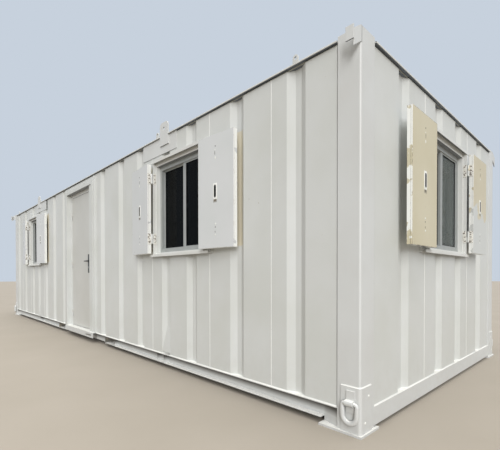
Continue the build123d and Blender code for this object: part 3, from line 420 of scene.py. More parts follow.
# Half width, drop from the leaf's middle, half height, softness of the border, colour
DARK_UNDER_PLATE = (0.020, 0.076, 0.014, 0.008, "#70695A")
SLOT_PLATE = (0.0245, 0.0, 0.068, 0.0005, PURE_WHITE)
shutter_paints = {}
for node in FRONT_LEAVES:
    shutter_paints[node] = shutter_paint(f"cool_white_on_{node}", node, "#CDCFD0", "#C8CBCB", "#8E7D5E")
shutter_paints["end_window_left_shutter"] = shutter_paint(
    "cream_on_left_leaf", "end_window_left_shutter", "#C9C2AA", "#C3BBA0", "#3B342C",
    bare_edges=0.56, edge_chips=2.3,
)
shutter_paints["end_window_right_shutter"] = shutter_paint(
    "cream_on_right_leaf", "end_window_right_shutter", "#C8C0A9", "#BFB69C", "#8E7D5E",
    rolled_to=1.60, bare_edges=0.56, edge_chips=1.7,
)
print(len(shutter_paints), "shutter paints")

# %% [markdown]
# ## Aluminium of the windows
# The window frames are mill-finish aluminium: drawn through a die, so fine lines run along each bar,
# and dulled by weather.

# %% Aluminium
def aluminium():
    """Dull mill-finish aluminium, with die lines 2 mm apart drawn along the bars."""
    material, tree = new_material("mill_finish_aluminium")
    place = add(tree, "TexCoord", out=3)
    cloud = add(tree, "TexNoise", {"Vector": place, "Scale": grain(60), "Detail": 6.0})
    drawn = add(tree, "Mapping", {"Vector": place, "Scale": (1.0, 1.0, 0.03)})
    lines = add(tree, "TexNoise", {"Vector": drawn, "Scale": grain(2), "Detail": 3.0})
    tone = add(tree, "Mix", {0: cloud, 6: "#B0B3B1", 7: "#9DA09E"}, **MIX)
    gloss = add(tree, "MapRange", {"Value": cloud, "To Min": 0.42, "To Max": 0.62})
    relief = add(tree, "Bump", {"Height": lines, "Distance": 0.0002, "Strength": 0.4})
    surface = {"Base Color": tone, "Metallic": 0.4, "Roughness": gloss, "Normal": relief}
    surface = add(tree, "BsdfPrincipled", surface)
    add(tree, "OutputMaterial", {"Surface": surface})
    return material


mill_aluminium = aluminium()
print(mill_aluminium.name)

# %% [markdown]
# ## Glass
# Float glass is see-through, and looks nearly black because the room behind it is dark and what it
# mirrors outdoors is dark too, so its mirror is turned well down under this pale sky.

# %% Glass
def float_glass():
    """Clear float glass, a little grey, with a dusty film that is far thicker on the end window."""
    material, tree = new_material("dusty_float_glass")
    place = add(tree, "TexCoord", out=3)
    at_end = inside_box(tree, place, (RIGHT_FACE - 0.2, -9, 0), (RIGHT_FACE + 0.2, 9, 3))
    tone = add(tree, "Mix", {0: at_end, 6: "#474F53", 7: "#949C9A"}, **MIX)
    clear = add(tree, "MapRange", {"Value": at_end, "To Min": 0.97, "To Max": 0.74})
    film = add(tree, "TexNoise", {"Vector": place, "Scale": grain(250), "Detail": 7.0})
    gloss = add(tree, "MapRange", {"Value": film, "To Min": 0.01, "To Max": 0.07})
    surface = {"Base Color": tone, "Roughness": gloss, "IOR": 1.09, "Transmission Weight": clear}
    surface = add(tree, "BsdfPrincipled", surface)
    add(tree, "OutputMaterial", {"Surface": surface})
    return material


glass = float_glass()
print(glass.name)

# %% [markdown]
# ## Rubber, handle, board and roof
# The rest is plain: black rubber that mirrors next to nothing, a powder-coated lever, plywood worn by
# boots, and a roof that nobody cleans. Two cloudy tones of a real size do for all of them.

# %% Rubber, handle, board and roof
def speckled(
    name, dark, light, size_mm, rough=(0.5, 0.8), bump=0.0003, border=(0.3, 0.7), stretch=(1, 1, 1),
    below=None, mirror=0.5,
):
    """Two tones in a cloudy pattern, with its own relief and gloss, and painted shade on its underside."""
    material, tree = new_material(name)
    place = add(tree, "TexCoord", out=3)
    place = add(tree, "Mapping", {"Vector": place, "Scale": stretch})
    cloud = add(tree, "TexNoise", {"Vector": place, "Scale": grain(size_mm), "Detail": 8.0})
    fine = add(tree, "TexNoise", {"Vector": place, "Scale": grain(size_mm / 12), "Detail": 4.0})
    ramp = add(tree, "MapRange", {"Value": cloud, "From Min": border[0], "From Max": border[1]})
    tone = add(tree, "Mix", {0: ramp, 6: dark, 7: light}, **MIX)
    # Painted shade: faces that look down take the dark tone, or the below colour if one is given
    level = add(tree, "SeparateXYZ", {0: add(tree, "NewGeometry", out=1)}, out=2)
    underside_shade = add(tree, "MapRange", {"Value": level, "From Min": -0.6, "From Max": -0.8})
    tone = add(tree, "Mix", {0: underside_shade, 6: tone, 7: below or dark}, **MIX)
    gloss = add(tree, "MapRange", {"Value": cloud, "To Min": rough[0], "To Max": rough[1]})
    relief = add(tree, "Bump", {"Height": fine, "Distance": bump, "Strength": 0.6})
    surface = {"Base Color": tone, "Roughness": gloss, "Normal": relief, "Specular IOR Level": mirror}
    surface = add(tree, "BsdfPrincipled", surface)
    add(tree, "OutputMaterial", {"Surface": surface})
    return material


black_rubber = speckled("black_glazing_rubber", "#141516", "#222325", 20, mirror=0.1)
black_handle = speckled("black_powder_coated_zinc", "#1F2021", "#2B2C2E", 30, (0.35, 0.5), 0.0002)
worn_plywood = speckled(
    "worn_birch_plywood", "#7A6850", "#9A8668", 90, (0.6, 0.85), 0.0004, stretch=(0.12, 1, 1)
)
lining_board = speckled("painted_lining_board", "#D0CCBF", "#DAD7CB", 600, (0.55, 0.7))
dirty_roof = speckled("weathered_white_roof_sheet", "#9B9C92", "#C6C7BF", 500, bump=0.0006, below=ROOF_SHADE)
burnt_paint = speckled("burnt_paint_and_weld_scale", "#241F1B", "#4E4339", 6, (0.7, 0.95), 0.0006)
chipped_hinge = speckled(
    "chipped_paint_on_hinges", "#54453A", "#DCDAD2", 16, (0.5, 0.6), 0.0005, border=(0.40, 0.45)
)
print("plain materials ready")

# %% [markdown]
# ## Dress the CAD nodes
# Each carried-over node takes the material of the real piece. Nothing is moved: only the slot changes.

# %% Materials on the CAD nodes
DRESS = {
    "front_rail": white_on_rails,
    "rear_rail": white_on_rails,
    "floor_joists": grey_on_joists,
    "fork_pockets": grey_on_joists,
    "floor_deck": worn_plywood,
    "ceiling_panel": lining_board,
    "roof_panel": dirty_roof,
    "roof_edge_trim": white_on_edge,
    "door_leaf": white_on_door,
    "door_frame": white_on_trim,
    "door_jamb_panels": white_on_sheet,
    "door_head_panel": white_on_sheet,
    "door_handle_plates": black_handle,
    "window_sashes": mill_aluminium,
    "window_glass": glass,
}
for name in NODES:
    if name.endswith("_wall") or name.startswith("front_wall"):
        DRESS[name] = white_on_sheet
    elif name.endswith("_window_frame"):
        DRESS[name] = mill_aluminium
    elif name.endswith("_window_surround"):
        DRESS[name] = white_on_surround
DRESS.update(shutter_paints)
for name, node in NODES.items():
    node.data.materials.clear()
    node.data.materials.append(DRESS.get(name, white_on_frame))
print(len(DRESS), "nodes dressed by name, the rest in frame white")

# %% [markdown]
# ## Building pieces from arrays
# Every new piece is made the same way. A shell is a grid of points: each row is one closed outline, and
# the rows follow each other along the piece. One function turns a list of shells into a mesh, closes
# the ends, points every face outwards and hangs the piece on its body. The shapes themselves are
# formulas, so the functions after it only work out where the points of the grid are.

# %% From shells to a piece
def build_piece(name, shells, material, body, slot, smooth_deg=35):
    """Joins grids of points (rows, around, 3) into one mesh; a looped shell's last row meets its first."""
    points, faces, first = [], [], 0
    for grid, looped in shells:
        rows, around = grid.shape[:2]
        index = first + np.arange(rows * around).reshape(rows, around)
        track = np.vstack([index, index[:1]]) if looped else index
        near, far = track[:-1], track[1:]
        quads = np.stack([near, np.roll(near, -1, 1), np.roll(far, -1, 1), far], -1)
        faces += quads.reshape(-1, 4).tolist()
        if not looped:
            faces += [index[0, ::-1].tolist(), index[-1].tolist()]
        points.append(grid.reshape(-1, 3))
        first += rows * around
    mesh = bpy.data.meshes.new(name)
    mesh.from_pydata(np.concatenate(points).tolist(), [], faces)
    shape = bmesh.new()
    shape.from_mesh(mesh)
    bmesh.ops.recalc_face_normals(shape, faces=shape.faces)
    shape.to_mesh(mesh)
    shape.free()
    mesh.shade_smooth()
    mesh.set_sharp_from_angle(angle=radians(smooth_deg))
    mesh.materials.append(material)
    piece = bpy.data.objects.new(name, mesh)
    bpy.context.collection.objects.link(piece)
    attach(piece, body)
    print(f"{name}: {len(mesh.polygons)} faces on {body}")
    return piece


def round_outline(radius, count=10, squash=1.0):
    """A circle of points, its second axis scaled by squash."""
    angle = np.linspace(0, 2 * np.pi, count, endpoint=False)
    return np.stack([radius * np.cos(angle), squash * radius * np.sin(angle)], -1)


def carry(path, across, lift, outline):
    """Carries an outline along a path: path point plus outline x times across plus outline y times lift."""
    path = np.asarray(path, float)
    across = np.broadcast_to(np.asarray(across, float), path.shape)
    lift = np.broadcast_to(np.asarray(lift, float), path.shape)
    outline = np.asarray(outline, float)
    if outline.ndim == 2:
        outline = np.broadcast_to(outline, (len(path), *outline.shape))
    return path[:, None] + outline[..., :1] * across[:, None] + outline[..., 1:] * lift[:, None]


print("points round a bar:", len(round_outline(0.01)))

# %% [markdown]
# ## Sides of the cabin
# Each side has its own frame, as a fitter would measure it: so far to the right along the side, so far
# in from the face of the posts, so high above the ground.

# %% Frames of the sides
UP = np.array([0.0, 0.0, 1.0])
SIDES = {
    "front": (np.array([MIDDLE_X, FRONT_FACE, 0]), np.array([1.0, 0, 0]), np.array([0, 1.0, 0])),
    "right": (np.array([RIGHT_FACE, MIDDLE_Y, 0]), np.array([0, 1.0, 0]), np.array([-1.0, 0, 0])),
    "rear": (np.array([MIDDLE_X, REAR_FACE, 0]), np.array([-1.0, 0, 0]), np.array([0, -1.0, 0])),
    "left": (np.array([LEFT_FACE, MIDDLE_Y, 0]), np.array([0, -1.0, 0]), np.array([1.0, 0, 0])),
}


def on_side(side, across, inward, height):
    """Points in a side's own frame, as rows of cabin coordinates."""
    origin, right, deep = SIDES[side]
    across, inward, height = np.broadcast_arrays(across, inward, height)
    return origin + across[..., None] * right + inward[..., None] * deep + height[..., None] * UP


WINDOWS = {}
for window, side in (("front_right", "front"), ("front_left", "front"), ("end", "right")):
    low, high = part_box(f"{window}_window_frame")
    centre = np.array((low + high) / 2) - SIDES[side][0]
    WINDOWS[window] = {"side": side, "across": float(centre @ SIDES[side][1]), "low": low.z, "high": high.z}
print({name: round(w["across"], 3) for name, w in WINDOWS.items()})

# %% [markdown]
# ## Seams of the wall sheets
# The walls are made of sheets about 0.8 to 1.1 m wide, lapped and welded, and each lap shows as a thin
# bright upright line. A weld bead is a half-round ridge with a slight ripple, so that is the formula:
# a flattened circle carried up the wall, its size waving by a few percent.

# %% Seams
SEAM_HALF_WIDTH = 0.0045
LONG_SEAMS = (2.257, 3.332, 4.113)
END_SEAMS = (-0.533, 0.553)
RIPPLE_LENGTH = 0.055


def seam(side, across):
    """A bead up the wall; its radius is multiplied by 1 plus an eighth of a sine of the height."""
    height = np.linspace(WALL_BOTTOM, WALL_TOP, int((WALL_TOP - WALL_BOTTOM) / 0.02))
    path = on_side(side, across, WALL_SET_BACK, height)
    swell = 1 + 0.12 * np.sin(2 * np.pi * height / RIPPLE_LENGTH)
    outline = round_outline(SEAM_HALF_WIDTH, 8, squash=0.5) * swell[:, None, None]
    return carry(path, SIDES[side][1], SIDES[side][2], outline), False


seams = []
for side in ("front", "rear"):
    seams += [seam(side, sign * place) for sign in (-1, 1) for place in LONG_SEAMS]
for side in ("right", "left"):
    seams += [seam(side, place) for place in END_SEAMS]
build_piece("sheet_seams", seams, white_on_edge, "cabin", "white_steel")

# %% [markdown]
# ### Welds along the foot and round the posts
# A thick fillet of weld joins the folded wall to the top of the rail, and follows every fold. It catches
# the light from above and shows as a bright line. Its plan is read from the wall itself: the corners of
# the lowest edge of its face, in order. At each corner the way out is the mean of both neighbours' ways,
# made longer by one over its own length, so that the fillet keeps its width round the bend.

# %% Foot fillets
FOOT_LEG = 0.0085
FILLET_OUTLINE = np.array([(0.0, 0.0), (1.0, 0.0), (0.62, 0.25), (0.25, 0.62), (0.0, 1.0), (-0.3, 0.5)])
FOLD_DEEPEST = 0.045


def fillet(side, plan, height, leg):
    """A weld along a plan line: unit normals of its segments, averaged, over their squared length."""
    plan = np.asarray(plan, float)
    step = np.diff(plan, axis=0)
    normal = np.stack([step[:, 1], -step[:, 0]], -1) / np.linalg.norm(step, axis=1, keepdims=True)
    mean = (np.vstack([normal[:1], normal]) + np.vstack([normal, normal[-1:]])) / 2
    mitre = mean / (mean**2).sum(1, keepdims=True)
    _, right, deep = SIDES[side]
    across = mitre[:, :1] * right + mitre[:, 1:] * deep
    return carry(on_side(side, plan[:, 0], plan[:, 1], height), across, UP, FILLET_OUTLINE * leg), False


def wall_plan(node, side):
    """Corners of the lowest edge of a wall's face, left to right, as (across, inward) rows."""
    origin, right, deep = SIDES[side]
    mesh = NODES[node].data
    flat = np.empty(len(mesh.vertices) * 3)
    mesh.vertices.foreach_get("co", flat)
    place = np.array(NODES[node].matrix_world)
    points = flat.reshape(-1, 3) @ place[:3, :3].T + place[:3, 3]
    across, inward = (points - origin) @ right, (points - origin) @ deep
    lowest = (points[:, 2] < WALL_BOTTOM + 0.001) & (inward < FOLD_DEEPEST)
    plan = np.unique(np.round(np.stack([across, inward], -1)[lowest], 4), axis=0)

    # Corners behind the folded face, and of the returns at its two ends, are left out
    joint = (plan[:, 1] > WALL_SET_BACK + 0.015) & (plan[:, 1] < WALL_SET_BACK + 0.025)
    edge = (np.abs(plan[:, 0]) > np.abs(plan[:, 0]).max() - 0.011) & (plan[:, 1] > WALL_SET_BACK + 0.001)
    return plan[~(joint | edge)]


fillets = []
for node, side in (
    ("front_wall_right", "front"), ("front_wall_left", "front"), ("rear_wall", "rear"),
    ("right_end_wall", "right"), ("left_end_wall", "left"),
):
    plan = wall_plan(node, side)
    print(node, len(plan), "corners from", plan[0], "to", plan[-1])
    fillets.append(fillet(side, plan, WALL_BOTTOM, FOOT_LEG))
build_piece("foot_fillets", fillets, white_on_beads, "cabin", "white_steel")

# %% [markdown]
# The cover plate round the foot of each post is welded along its top edge, and the bead turns with the
# rounded corner of the post.

# %% Beads over the cover plates
COVER_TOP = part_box("corner_cover_plates")[1].z
COVER_LEG = 0.007
COVER_REACH = (0.135, 0.127)
CORNER_R = 0.012
HALF_LONG, END_HALF = (RIGHT_FACE - LEFT_FACE) / 2, (REAR_FACE - FRONT_FACE) / 2
turn = np.linspace(np.pi / 2, 0, 7)
arc = np.stack([HALF_LONG - CORNER_R + CORNER_R * np.cos(turn), CORNER_R - CORNER_R * np.sin(turn)], -1)
corner = np.vstack([(HALF_LONG - COVER_REACH[0], 0.0), arc, (HALF_LONG, COVER_REACH[1])])
plans = (corner, (corner * (-1, 1))[::-1])
beads = [fillet(side, plan, COVER_TOP, COVER_LEG) for side in ("front", "rear") for plan in plans]
build_piece("cover_plate_beads", beads, white_on_beads, "cabin", "white_steel")

# %% [markdown]
# ### Rolled hem of the roof edge
# The edge of the roof sheet is rolled over a wire, which stiffens it and makes rain drip clear of the
# wall. It shows as a thin white line against the sky, with the dark gap under the roof below it. The
# shape is a rod along each side between the posts. On the long sides it stops at the two lifting lugs,
# which stand up through slots in the roof's edge.

# %% Roof hem
trim_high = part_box("roof_edge_trim")[1]
HEM_RADIUS = 0.0055
HEM_INWARD = HEM_RADIUS - (trim_high.x - RIGHT_FACE)
POST_SIZE = 0.165
LUG_MIDDLE, LUG_HALF_WIDE = 2.547, 0.0855
lug_near, lug_far = LUG_MIDDLE - LUG_HALF_WIDE, LUG_MIDDLE + LUG_HALF_WIDE
long_end, short_end = HALF_LONG - POST_SIZE, END_HALF - POST_SIZE
long_stretches = ((-long_end, -lug_far), (-lug_near, lug_near), (lug_far, long_end))
hems = []
for side in SIDES:
    for stretch in long_stretches if side in ("front", "rear") else ((-short_end, short_end),):
        path = on_side(side, np.linspace(*stretch, 3), HEM_INWARD, trim_high.z - HEM_RADIUS)
        hems.append((carry(path, SIDES[side][2], UP, round_outline(HEM_RADIUS, 12)), False))
build_piece("roof_hem", hems, white_on_edge, "cabin", "white_steel")

# %% [markdown]
# ## Forged lashing rings
# Each foot has a ring of round bar, bent to a D and welded shut, which hangs in a strap. The CAD ring
# has an eight-sided bar to stay light, so a smooth one takes its place: a circle carried round a closed
# path that is straight at the top, turns down through two tight bends, and ends in half a circle. Below
# the strap the bow is forged wider: there the circle is stretched towards the middle of the ring.

# %% Rings
RING_BEND = 0.020
RING_WIDER = 0.009
RING_FLATTENS = 0.035
for corner in ("front_right", "front_left", "rear_left", "rear_right"):
    low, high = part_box(f"{corner}_ring")
    bar = (high.y - low.y) / 2
    half = (high.x - low.x) / 2 - bar
    centre_x, centre_y = (low.x + high.x) / 2, (low.y + high.y) / 2
    top, bottom = high.z - bar, low.z + bar + half
    bend = np.linspace(np.pi / 2, 0, 9)
    sweep = np.linspace(0, -np.pi, 33)
    bend_x = half - RING_BEND + RING_BEND * np.cos(bend)
    bend_z = top - RING_BEND + RING_BEND * np.sin(bend)
    x = np.concatenate([bend_x, half * np.cos(sweep), -bend_x[::-1]])
    z = np.concatenate([bend_z, bottom + half * np.sin(sweep), bend_z[::-1]])
    path = np.stack([x + centre_x, np.full_like(x, centre_y), z], -1)
    ahead = np.roll(path, -1, 0) - np.roll(path, 1, 0)
    ahead /= np.linalg.norm(ahead, axis=1, keepdims=True)
    inward = np.cross((0.0, 1.0, 0.0), ahead)
    flatten = np.clip((top - z) / RING_FLATTENS, 0, 1)[:, None] * RING_WIDER
    outline = np.broadcast_to(round_outline(bar, 14), (len(path), 14, 2)).copy()
    outline[..., 0] += flatten * (outline[..., 0] + bar) / (2 * bar)
    ring = build_piece(
        f"{corner}_forged_ring",
        [(carry(path, inward, (0.0, 1.0, 0.0), outline), True)],
        white_on_frame, f"{corner}_lashing", "white_steel", 60,
    )
    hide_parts(f"{corner}_ring")

# %% [markdown]
# ## Weld marks on the shutters
# A locking bar was once welded to the face of each shutter, near its foot and near its head, and rough
# spots of weld and burnt paint are left. A spot is a shallow dome: rows of points on a circle that
# shrinks as it rises. A leaf that is folded back lies a little past flat on the long side.

# %% Domes
def dome(centre, across, up, out, radius, rise):
    """A shallow cap: radius times the cosine, rise times the sine, of an angle from 0 to 80 degrees."""
    angle = np.radians([0, 0, 25, 50, 80])
    ring = round_outline(1.0, 10)
    size = radius * np.cos(angle)[:, None, None]
    lift = (rise * np.sin(angle) - [0.001, 0, 0, 0, 0])[:, None, None]
    flat = ring[None, :, :1] * across + ring[None, :, 1:] * up
    return np.asarray(centre) + size * flat + lift * out, False


AXIS_FROM_CENTRE = 0.463
AXIS_OUT = 0.054
FACE_FROM_AXIS = 0.043
LEAF_MIDDLE = 0.236
PAST_FLAT = {"front_right": radians(4.5), "front_left": radians(4.5), "end": 0.0}
# Height from the leaf's middle, half width and half height of each spot
MARKS = ((-0.365, 0.0070, 0.0080), (-0.275, 0.0070, 0.0080), (0.279, 0.0075, 0.0120), (0.345, 0.0045, 0.0050))
BURNT = ((-0.340, 0.0035, 0.0080), (-0.301, 0.0050, 0.0055), (0.320, 0.0028, 0.0190), (0.377, 0.0050, 0.0065))
MARK_RISE, BURNT_RISE = 0.0025, 0.001
LEAVES = [
    (window, hand, sign, f"{window}_window_{hand}_leaf", "cream_steel" if window == "end" else "shutter_steel")
    for window in WINDOWS for hand, sign in (("right", 1), ("left", -1))
]
random = np.random.default_rng(7)


def leaf_frame(window, sign):
    """The hinge line of a folded-back shutter, the way along the leaf and the way out of its face."""
    place = WINDOWS[window]
    _, right, deep = SIDES[place["side"]]
    turn = PAST_FLAT[window]
    axis = on_side(place["side"], place["across"] + sign * AXIS_FROM_CENTRE, -AXIS_OUT, 0.0)
    along = sign * np.cos(turn) * right + np.sin(turn) * deep
    out = sign * np.sin(turn) * right - np.cos(turn) * deep
    return axis, along, out


def leaf_spots(window, hand, sign, rows, rise):
    """Domes on a leaf's face, one for each row, up to 3 mm off its middle line."""
    low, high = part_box(f"{window}_window_{hand}_shutter")
    axis, along, out = leaf_frame(window, sign)
    spots = []
    for step, wide, tall in rows:
        middle = UP * ((low.z + high.z) / 2 + step) + along * (LEAF_MIDDLE + random.uniform(-0.003, 0.003))
        spots.append(dome(axis + middle + out * FACE_FROM_AXIS, along, UP * (tall / wide), out, wide, rise))
    return spots


for window, hand, sign, body, slot in LEAVES:
    spots = leaf_spots(window, hand, sign, MARKS, MARK_RISE)
    build_piece(f"{window}_{hand}_weld_marks", spots, white_on_beads, body, slot)
    spots = leaf_spots(window, hand, sign, BURNT, BURNT_RISE)
    build_piece(f"{window}_{hand}_burnt_spots", spots, burnt_paint, body, slot)

# %% [markdown]
# ### Plug welds
# The cover plates of the feet are held by welds through round holes: each is a larger dome.

# %% Plug welds on the feet
PLUGS = ((0.088, 0.235), (0.047, 0.077))
PLUG_RADIUS, PLUG_RISE = 0.0095, 0.0035
COVER_PROUD = 0.008
plugs = []
for side in ("right", "left"):
    _, right, deep = SIDES[side]
    for sign in (-1, 1):
        for from_corner, height in PLUGS:
            spot = on_side(side, sign * (END_HALF - from_corner), -COVER_PROUD, height)
            plugs.append(dome(spot, right, UP, -deep, PLUG_RADIUS, PLUG_RISE))
build_piece("foot_plug_welds", plugs, white_on_beads, "cabin", "white_steel")

# %% [markdown]
# ## Hinge plates of the shutters
# Each pin hinge has two steel plates, one on the upright bar beside the window and one on the edge of
# the leaf, and each plate is held by three screws whose heads have rusted. A plate is a rounded outline
# three times over, the last a little smaller and higher, which gives it a softened edge.

# %% Straps
def strap(centre, across, up, out, width, tall, thick, corner):
    """A rounded plate: quarter circles at the four corners, repeated at the base, the edge and the top."""
    turn = np.linspace(0, np.pi / 2, 5)
    quarter = np.stack([np.cos(turn), np.sin(turn)], -1) * corner
    square = np.array([(width / 2 - corner, tall / 2 - corner)])
    signs = ((1, 1), (-1, 1), (-1, -1), (1, -1))
    parts = [((quarter if a * b > 0 else quarter[::-1]) + square) * (a, b) for a, b in signs]
    outline = np.concatenate(parts)
    rows = np.array([(1.0, -0.001), (1.0, thick - 0.001), (1 - 0.003 / width, thick)])
    scale, lift = rows.T[..., None, None]
    flat = outline * scale
    return np.asarray(centre) + flat[..., :1] * across + flat[..., 1:] * up + lift * out, False


HINGE_RISES = (0.152, 0.792)
PLATE_TALL, PLATE_THICK, PLATE_ROUND = 0.116, 0.003, 0.004
SCREW_STEPS = (-0.040, 0.0, 0.040)
SCREW_RADIUS, SCREW_RISE = 0.0050, 0.0012
HINGE_BAR_HALF, HINGE_BAR_MIDDLE, HINGE_BAR_PLATE = 0.004, 0.023, 0.028
LEAF_EDGE, LEAF_EDGE_MIDDLE, LEAF_EDGE_PLATE = 0.012, 0.023, 0.034


def hinge_plates(places, across, out, wide):
    """Plates at the places, facing out, and three screw heads on each, as two lists of shells."""
    plates = [strap(place, across, UP, out, wide, PLATE_TALL, PLATE_THICK, PLATE_ROUND) for place in places]
    heads = [place + UP * step + out * PLATE_THICK for place in places for step in SCREW_STEPS]
    return plates, [dome(head, across, UP, out, SCREW_RADIUS, SCREW_RISE) for head in heads]


bar_shells = {window: ([], []) for window in WINDOWS}
for window, hand, sign, body, slot in LEAVES:
    place = WINDOWS[window]
    _, right, deep = SIDES[place["side"]]
    axis, along, out = leaf_frame(window, sign)
    levels = [place["low"] + rise for rise in HINGE_RISES]
    near = place["across"] + sign * (AXIS_FROM_CENTRE - HINGE_BAR_HALF)
    flats = [on_side(place["side"], near, -HINGE_BAR_MIDDLE, level) for level in levels]
    edges = [axis + along * LEAF_EDGE + out * LEAF_EDGE_MIDDLE + UP * level for level in levels]
    for kept, made in zip(bar_shells[window], hinge_plates(flats, deep, -sign * right, HINGE_BAR_PLATE)):
        kept.extend(made)
    plates, screws = hinge_plates(edges, out, -along, LEAF_EDGE_PLATE)
    build_piece(f"{window}_{hand}_leaf_hinge_plates", plates, chipped_hinge, body, slot)
    build_piece(f"{window}_{hand}_leaf_hinge_screws", screws, burnt_paint, body, slot)
    if hand == "left":
        plates, screws = bar_shells[window]
        build_piece(f"{window}_bar_hinge_plates", plates, chipped_hinge, "cabin", "white_steel")
        build_piece(f"{window}_bar_hinge_screws", screws, burnt_paint, "cabin", "white_steel")

# %% [markdown]
# ## Dark sheets over the shutter slots
# The lock bar of a closed shutter goes through the slot in its plate. A thin black sheet lies on the plate
# round the slot and covers it, so that the slot looks like a wider dark hole: painted shade for its dark
# hollow. It is the same rounded plate again, with fully round ends, and stands 0.2 mm proud of the slot plate.

# %% Slot shade sheets
# Width, height, thickness and the radius of the rounded ends
SLOT_SHADE_SHEET = (0.029, 0.1165, 0.0002, 0.0144)
SLOT_PLATE_PROUD = 0.0025
for window, hand, sign, body, slot in LEAVES:
    axis, along, out = leaf_frame(window, sign)
    low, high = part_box(f"{window}_window_{hand}_shutter")
    centre = axis + along * LEAF_MIDDLE + UP * ((low.z + high.z) / 2)
    centre = centre + out * (FACE_FROM_AXIS + SLOT_PLATE_PROUD)
    # A thin black sheet over each slot: painted shade for the slot's dark hollow
    build_piece(f"{window}_{hand}_slot_shade_sheet", [strap(centre, along, UP, out, *SLOT_SHADE_SHEET)], black_rubber, body, slot)

# %% [markdown]
# ## Glazing rubbers
# Each pane sits in a black rubber that shows as a thin dark line round the glass, inside and out. The
# right-hand sash slides in front of the other, and both meet a little to the right of the middle. The
# shape is a small half-round carried round a rectangle with mitred corners: at a corner, the way across
# is the diagonal, made longer by the square root of two so that the strip keeps its width.

# %% Rubbers
WINDOW_HALF = 0.448
WINDOW_FACE, SASH_FACE = 0.042, 0.012
PANE_RIM = WINDOW_FACE + SASH_FACE
# Left and right sash: sign, where its pane ends at the meeting, depth of its middle
SASHES = ((-1, 0.0, 0.078), (1, 0.050, 0.055))
SASH_HALF_THICK = 0.010
RUBBER_LET_IN = 0.004


def rubber(side, low, high, bottom, top, deep, out):
    """A half-round strip round a rectangle: four mitred corners, each with a diagonal way across."""
    corner_signs = np.array([(-1, -1), (1, -1), (1, 1), (-1, 1)], float)
    across = (low + high) / 2 + corner_signs[:, 0] * (high - low) / 2
    height = (bottom + top) / 2 + corner_signs[:, 1] * (top - bottom) / 2
    _, right, inward = SIDES[side]
    path = on_side(side, across, deep, height)
    diagonal = -corner_signs[:, :1] * right - corner_signs[:, 1:] * UP
    outline = np.array([(-0.001, -0.001), (0.005, -0.001), (0.006, 0.001), (0.004, 0.003), (-0.001, 0.003)])
    return carry(path, diagonal, out * inward, outline), True


rubbers = []
for place in WINDOWS.values():
    outer = WINDOW_HALF - PANE_RIM
    bottom, top = place["low"] + PANE_RIM, place["high"] - PANE_RIM
    for sign, meeting, depth in SASHES:
        low, high = sorted((place["across"] + sign * outer, place["across"] + meeting))
        for out in (-1, 1):
            deep = depth + out * (SASH_HALF_THICK - RUBBER_LET_IN)
            rubbers.append(rubber(place["side"], low, high, bottom, top, deep, out))
build_piece("glazing_rubbers", rubbers, black_rubber, "cabin", "window_aluminium")

# %% [markdown]
# ## Door lever and lock
# The lever is die-cast: an oval bar that leaves the rose square to the door, bends and runs along it,
# a little thinner towards its end. The path is a straight, a quarter circle and a straight that droops
# towards the door near its tip, and the oval shrinks along it.

# %% Lever
lever_low, lever_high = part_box("door_lever")
plate_low, plate_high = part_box("door_handle_plates")
SPINDLE_X = (plate_low.x + plate_high.x) / 2
SPINDLE_Z = (lever_low.z + lever_high.z) / 2
BEND = 0.018
LEVER_HALF_TALL, LEVER_HALF_THICK = 0.010, 0.006
LEVER_DROOP = 0.012
SPINDLE_RADIUS, SPINDLE_LET_OUT = 0.006, 0.002


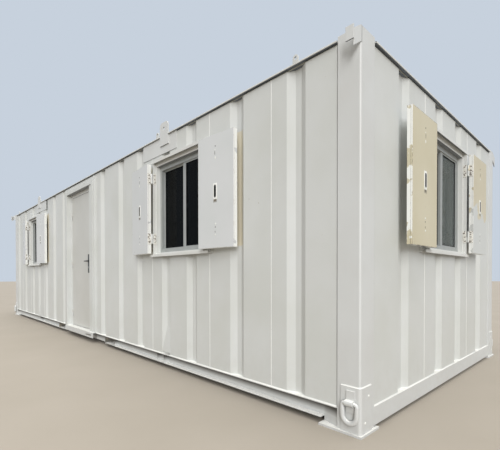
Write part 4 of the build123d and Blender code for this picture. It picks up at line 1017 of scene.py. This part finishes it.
def lever_side(face, out, tip):
    """One handle: out from the plate, a quarter turn, then along to the tip; the oval shrinks by a fifth."""
    reach = abs(tip - face)
    turn = np.linspace(0, np.pi / 2, 9)
    straight = np.linspace(0, reach - BEND - LEVER_HALF_THICK, 4)
    # The run starts 12 mm past the bend and stops 6 mm short of the tip
    run = np.linspace(0.012, SPINDLE_X - lever_low.x - BEND - 0.006, 10)
    along = np.concatenate([np.zeros(4), BEND - BEND * np.cos(turn[1:]), BEND + run])
    bent = straight[-1] + BEND * np.sin(turn[1:])
    away = np.concatenate([straight, bent, np.full(len(run), bent[-1])])
    away = away - LEVER_DROOP * np.clip(along / along[-1] - 0.7, 0, 1) ** 2
    along, away = np.append(along, along[-1] + 0.004), np.append(away, away[-1])
    path = np.stack([SPINDLE_X - along, face + out * away, np.full_like(along, SPINDLE_Z)], -1)
    ahead = np.gradient(path, axis=0)
    ahead /= np.linalg.norm(ahead, axis=1, keepdims=True)
    size = np.linspace(1.0, 0.8, len(path))
    size[-1] = 0.45
    outline = round_outline(LEVER_HALF_TALL, 14, squash=0.6)[:, ::-1] * size[:, None, None]
    return carry(path, np.cross(ahead, UP), UP, outline), False


outer_tip, inner_tip = lever_low.y + LEVER_HALF_THICK, lever_high.y - LEVER_HALF_THICK
shells = [lever_side(plate_low.y, -1, outer_tip), lever_side(plate_high.y, 1, inner_tip)]
spindle_ends = (plate_low.y - SPINDLE_LET_OUT, plate_high.y + SPINDLE_LET_OUT)
spindle = [(SPINDLE_X, y, SPINDLE_Z) for y in spindle_ends]
shells.append((carry(spindle, (1.0, 0, 0), UP, round_outline(SPINDLE_RADIUS, 12)), False))
lever = build_piece("door_lever_handles", shells, black_handle, "door_handle", "dark_handle", 50)
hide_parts("door_lever")

# %% [markdown]
# ### Lock barrel
# Under the lever is the lock barrel, a small rounded plug in the long plate, with a black keyhole.

# %% Lock barrel
LOCK_BELOW = 0.095
# Width, height, thickness and corner radius
BARREL = (0.017, 0.034, 0.003, 0.008)
KEYHOLE = (0.003, 0.009, 0.0006, 0.001)
barrels, keyholes = [], []
for face, out in ((plate_low.y, -1), (plate_high.y, 1)):
    spot = np.array([SPINDLE_X, face, SPINDLE_Z - LOCK_BELOW])
    way = np.array([0.0, out, 0.0])
    barrels.append(strap(spot, (1.0, 0, 0), UP, way, *BARREL))
    keyholes.append(strap(spot + way * BARREL[2] + UP * 0.007, (1.0, 0, 0), UP, way, *KEYHOLE))
build_piece("lock_barrels", barrels, mill_aluminium, "door", "window_aluminium")
build_piece("keyholes", keyholes, black_rubber, "door", "dark_handle")
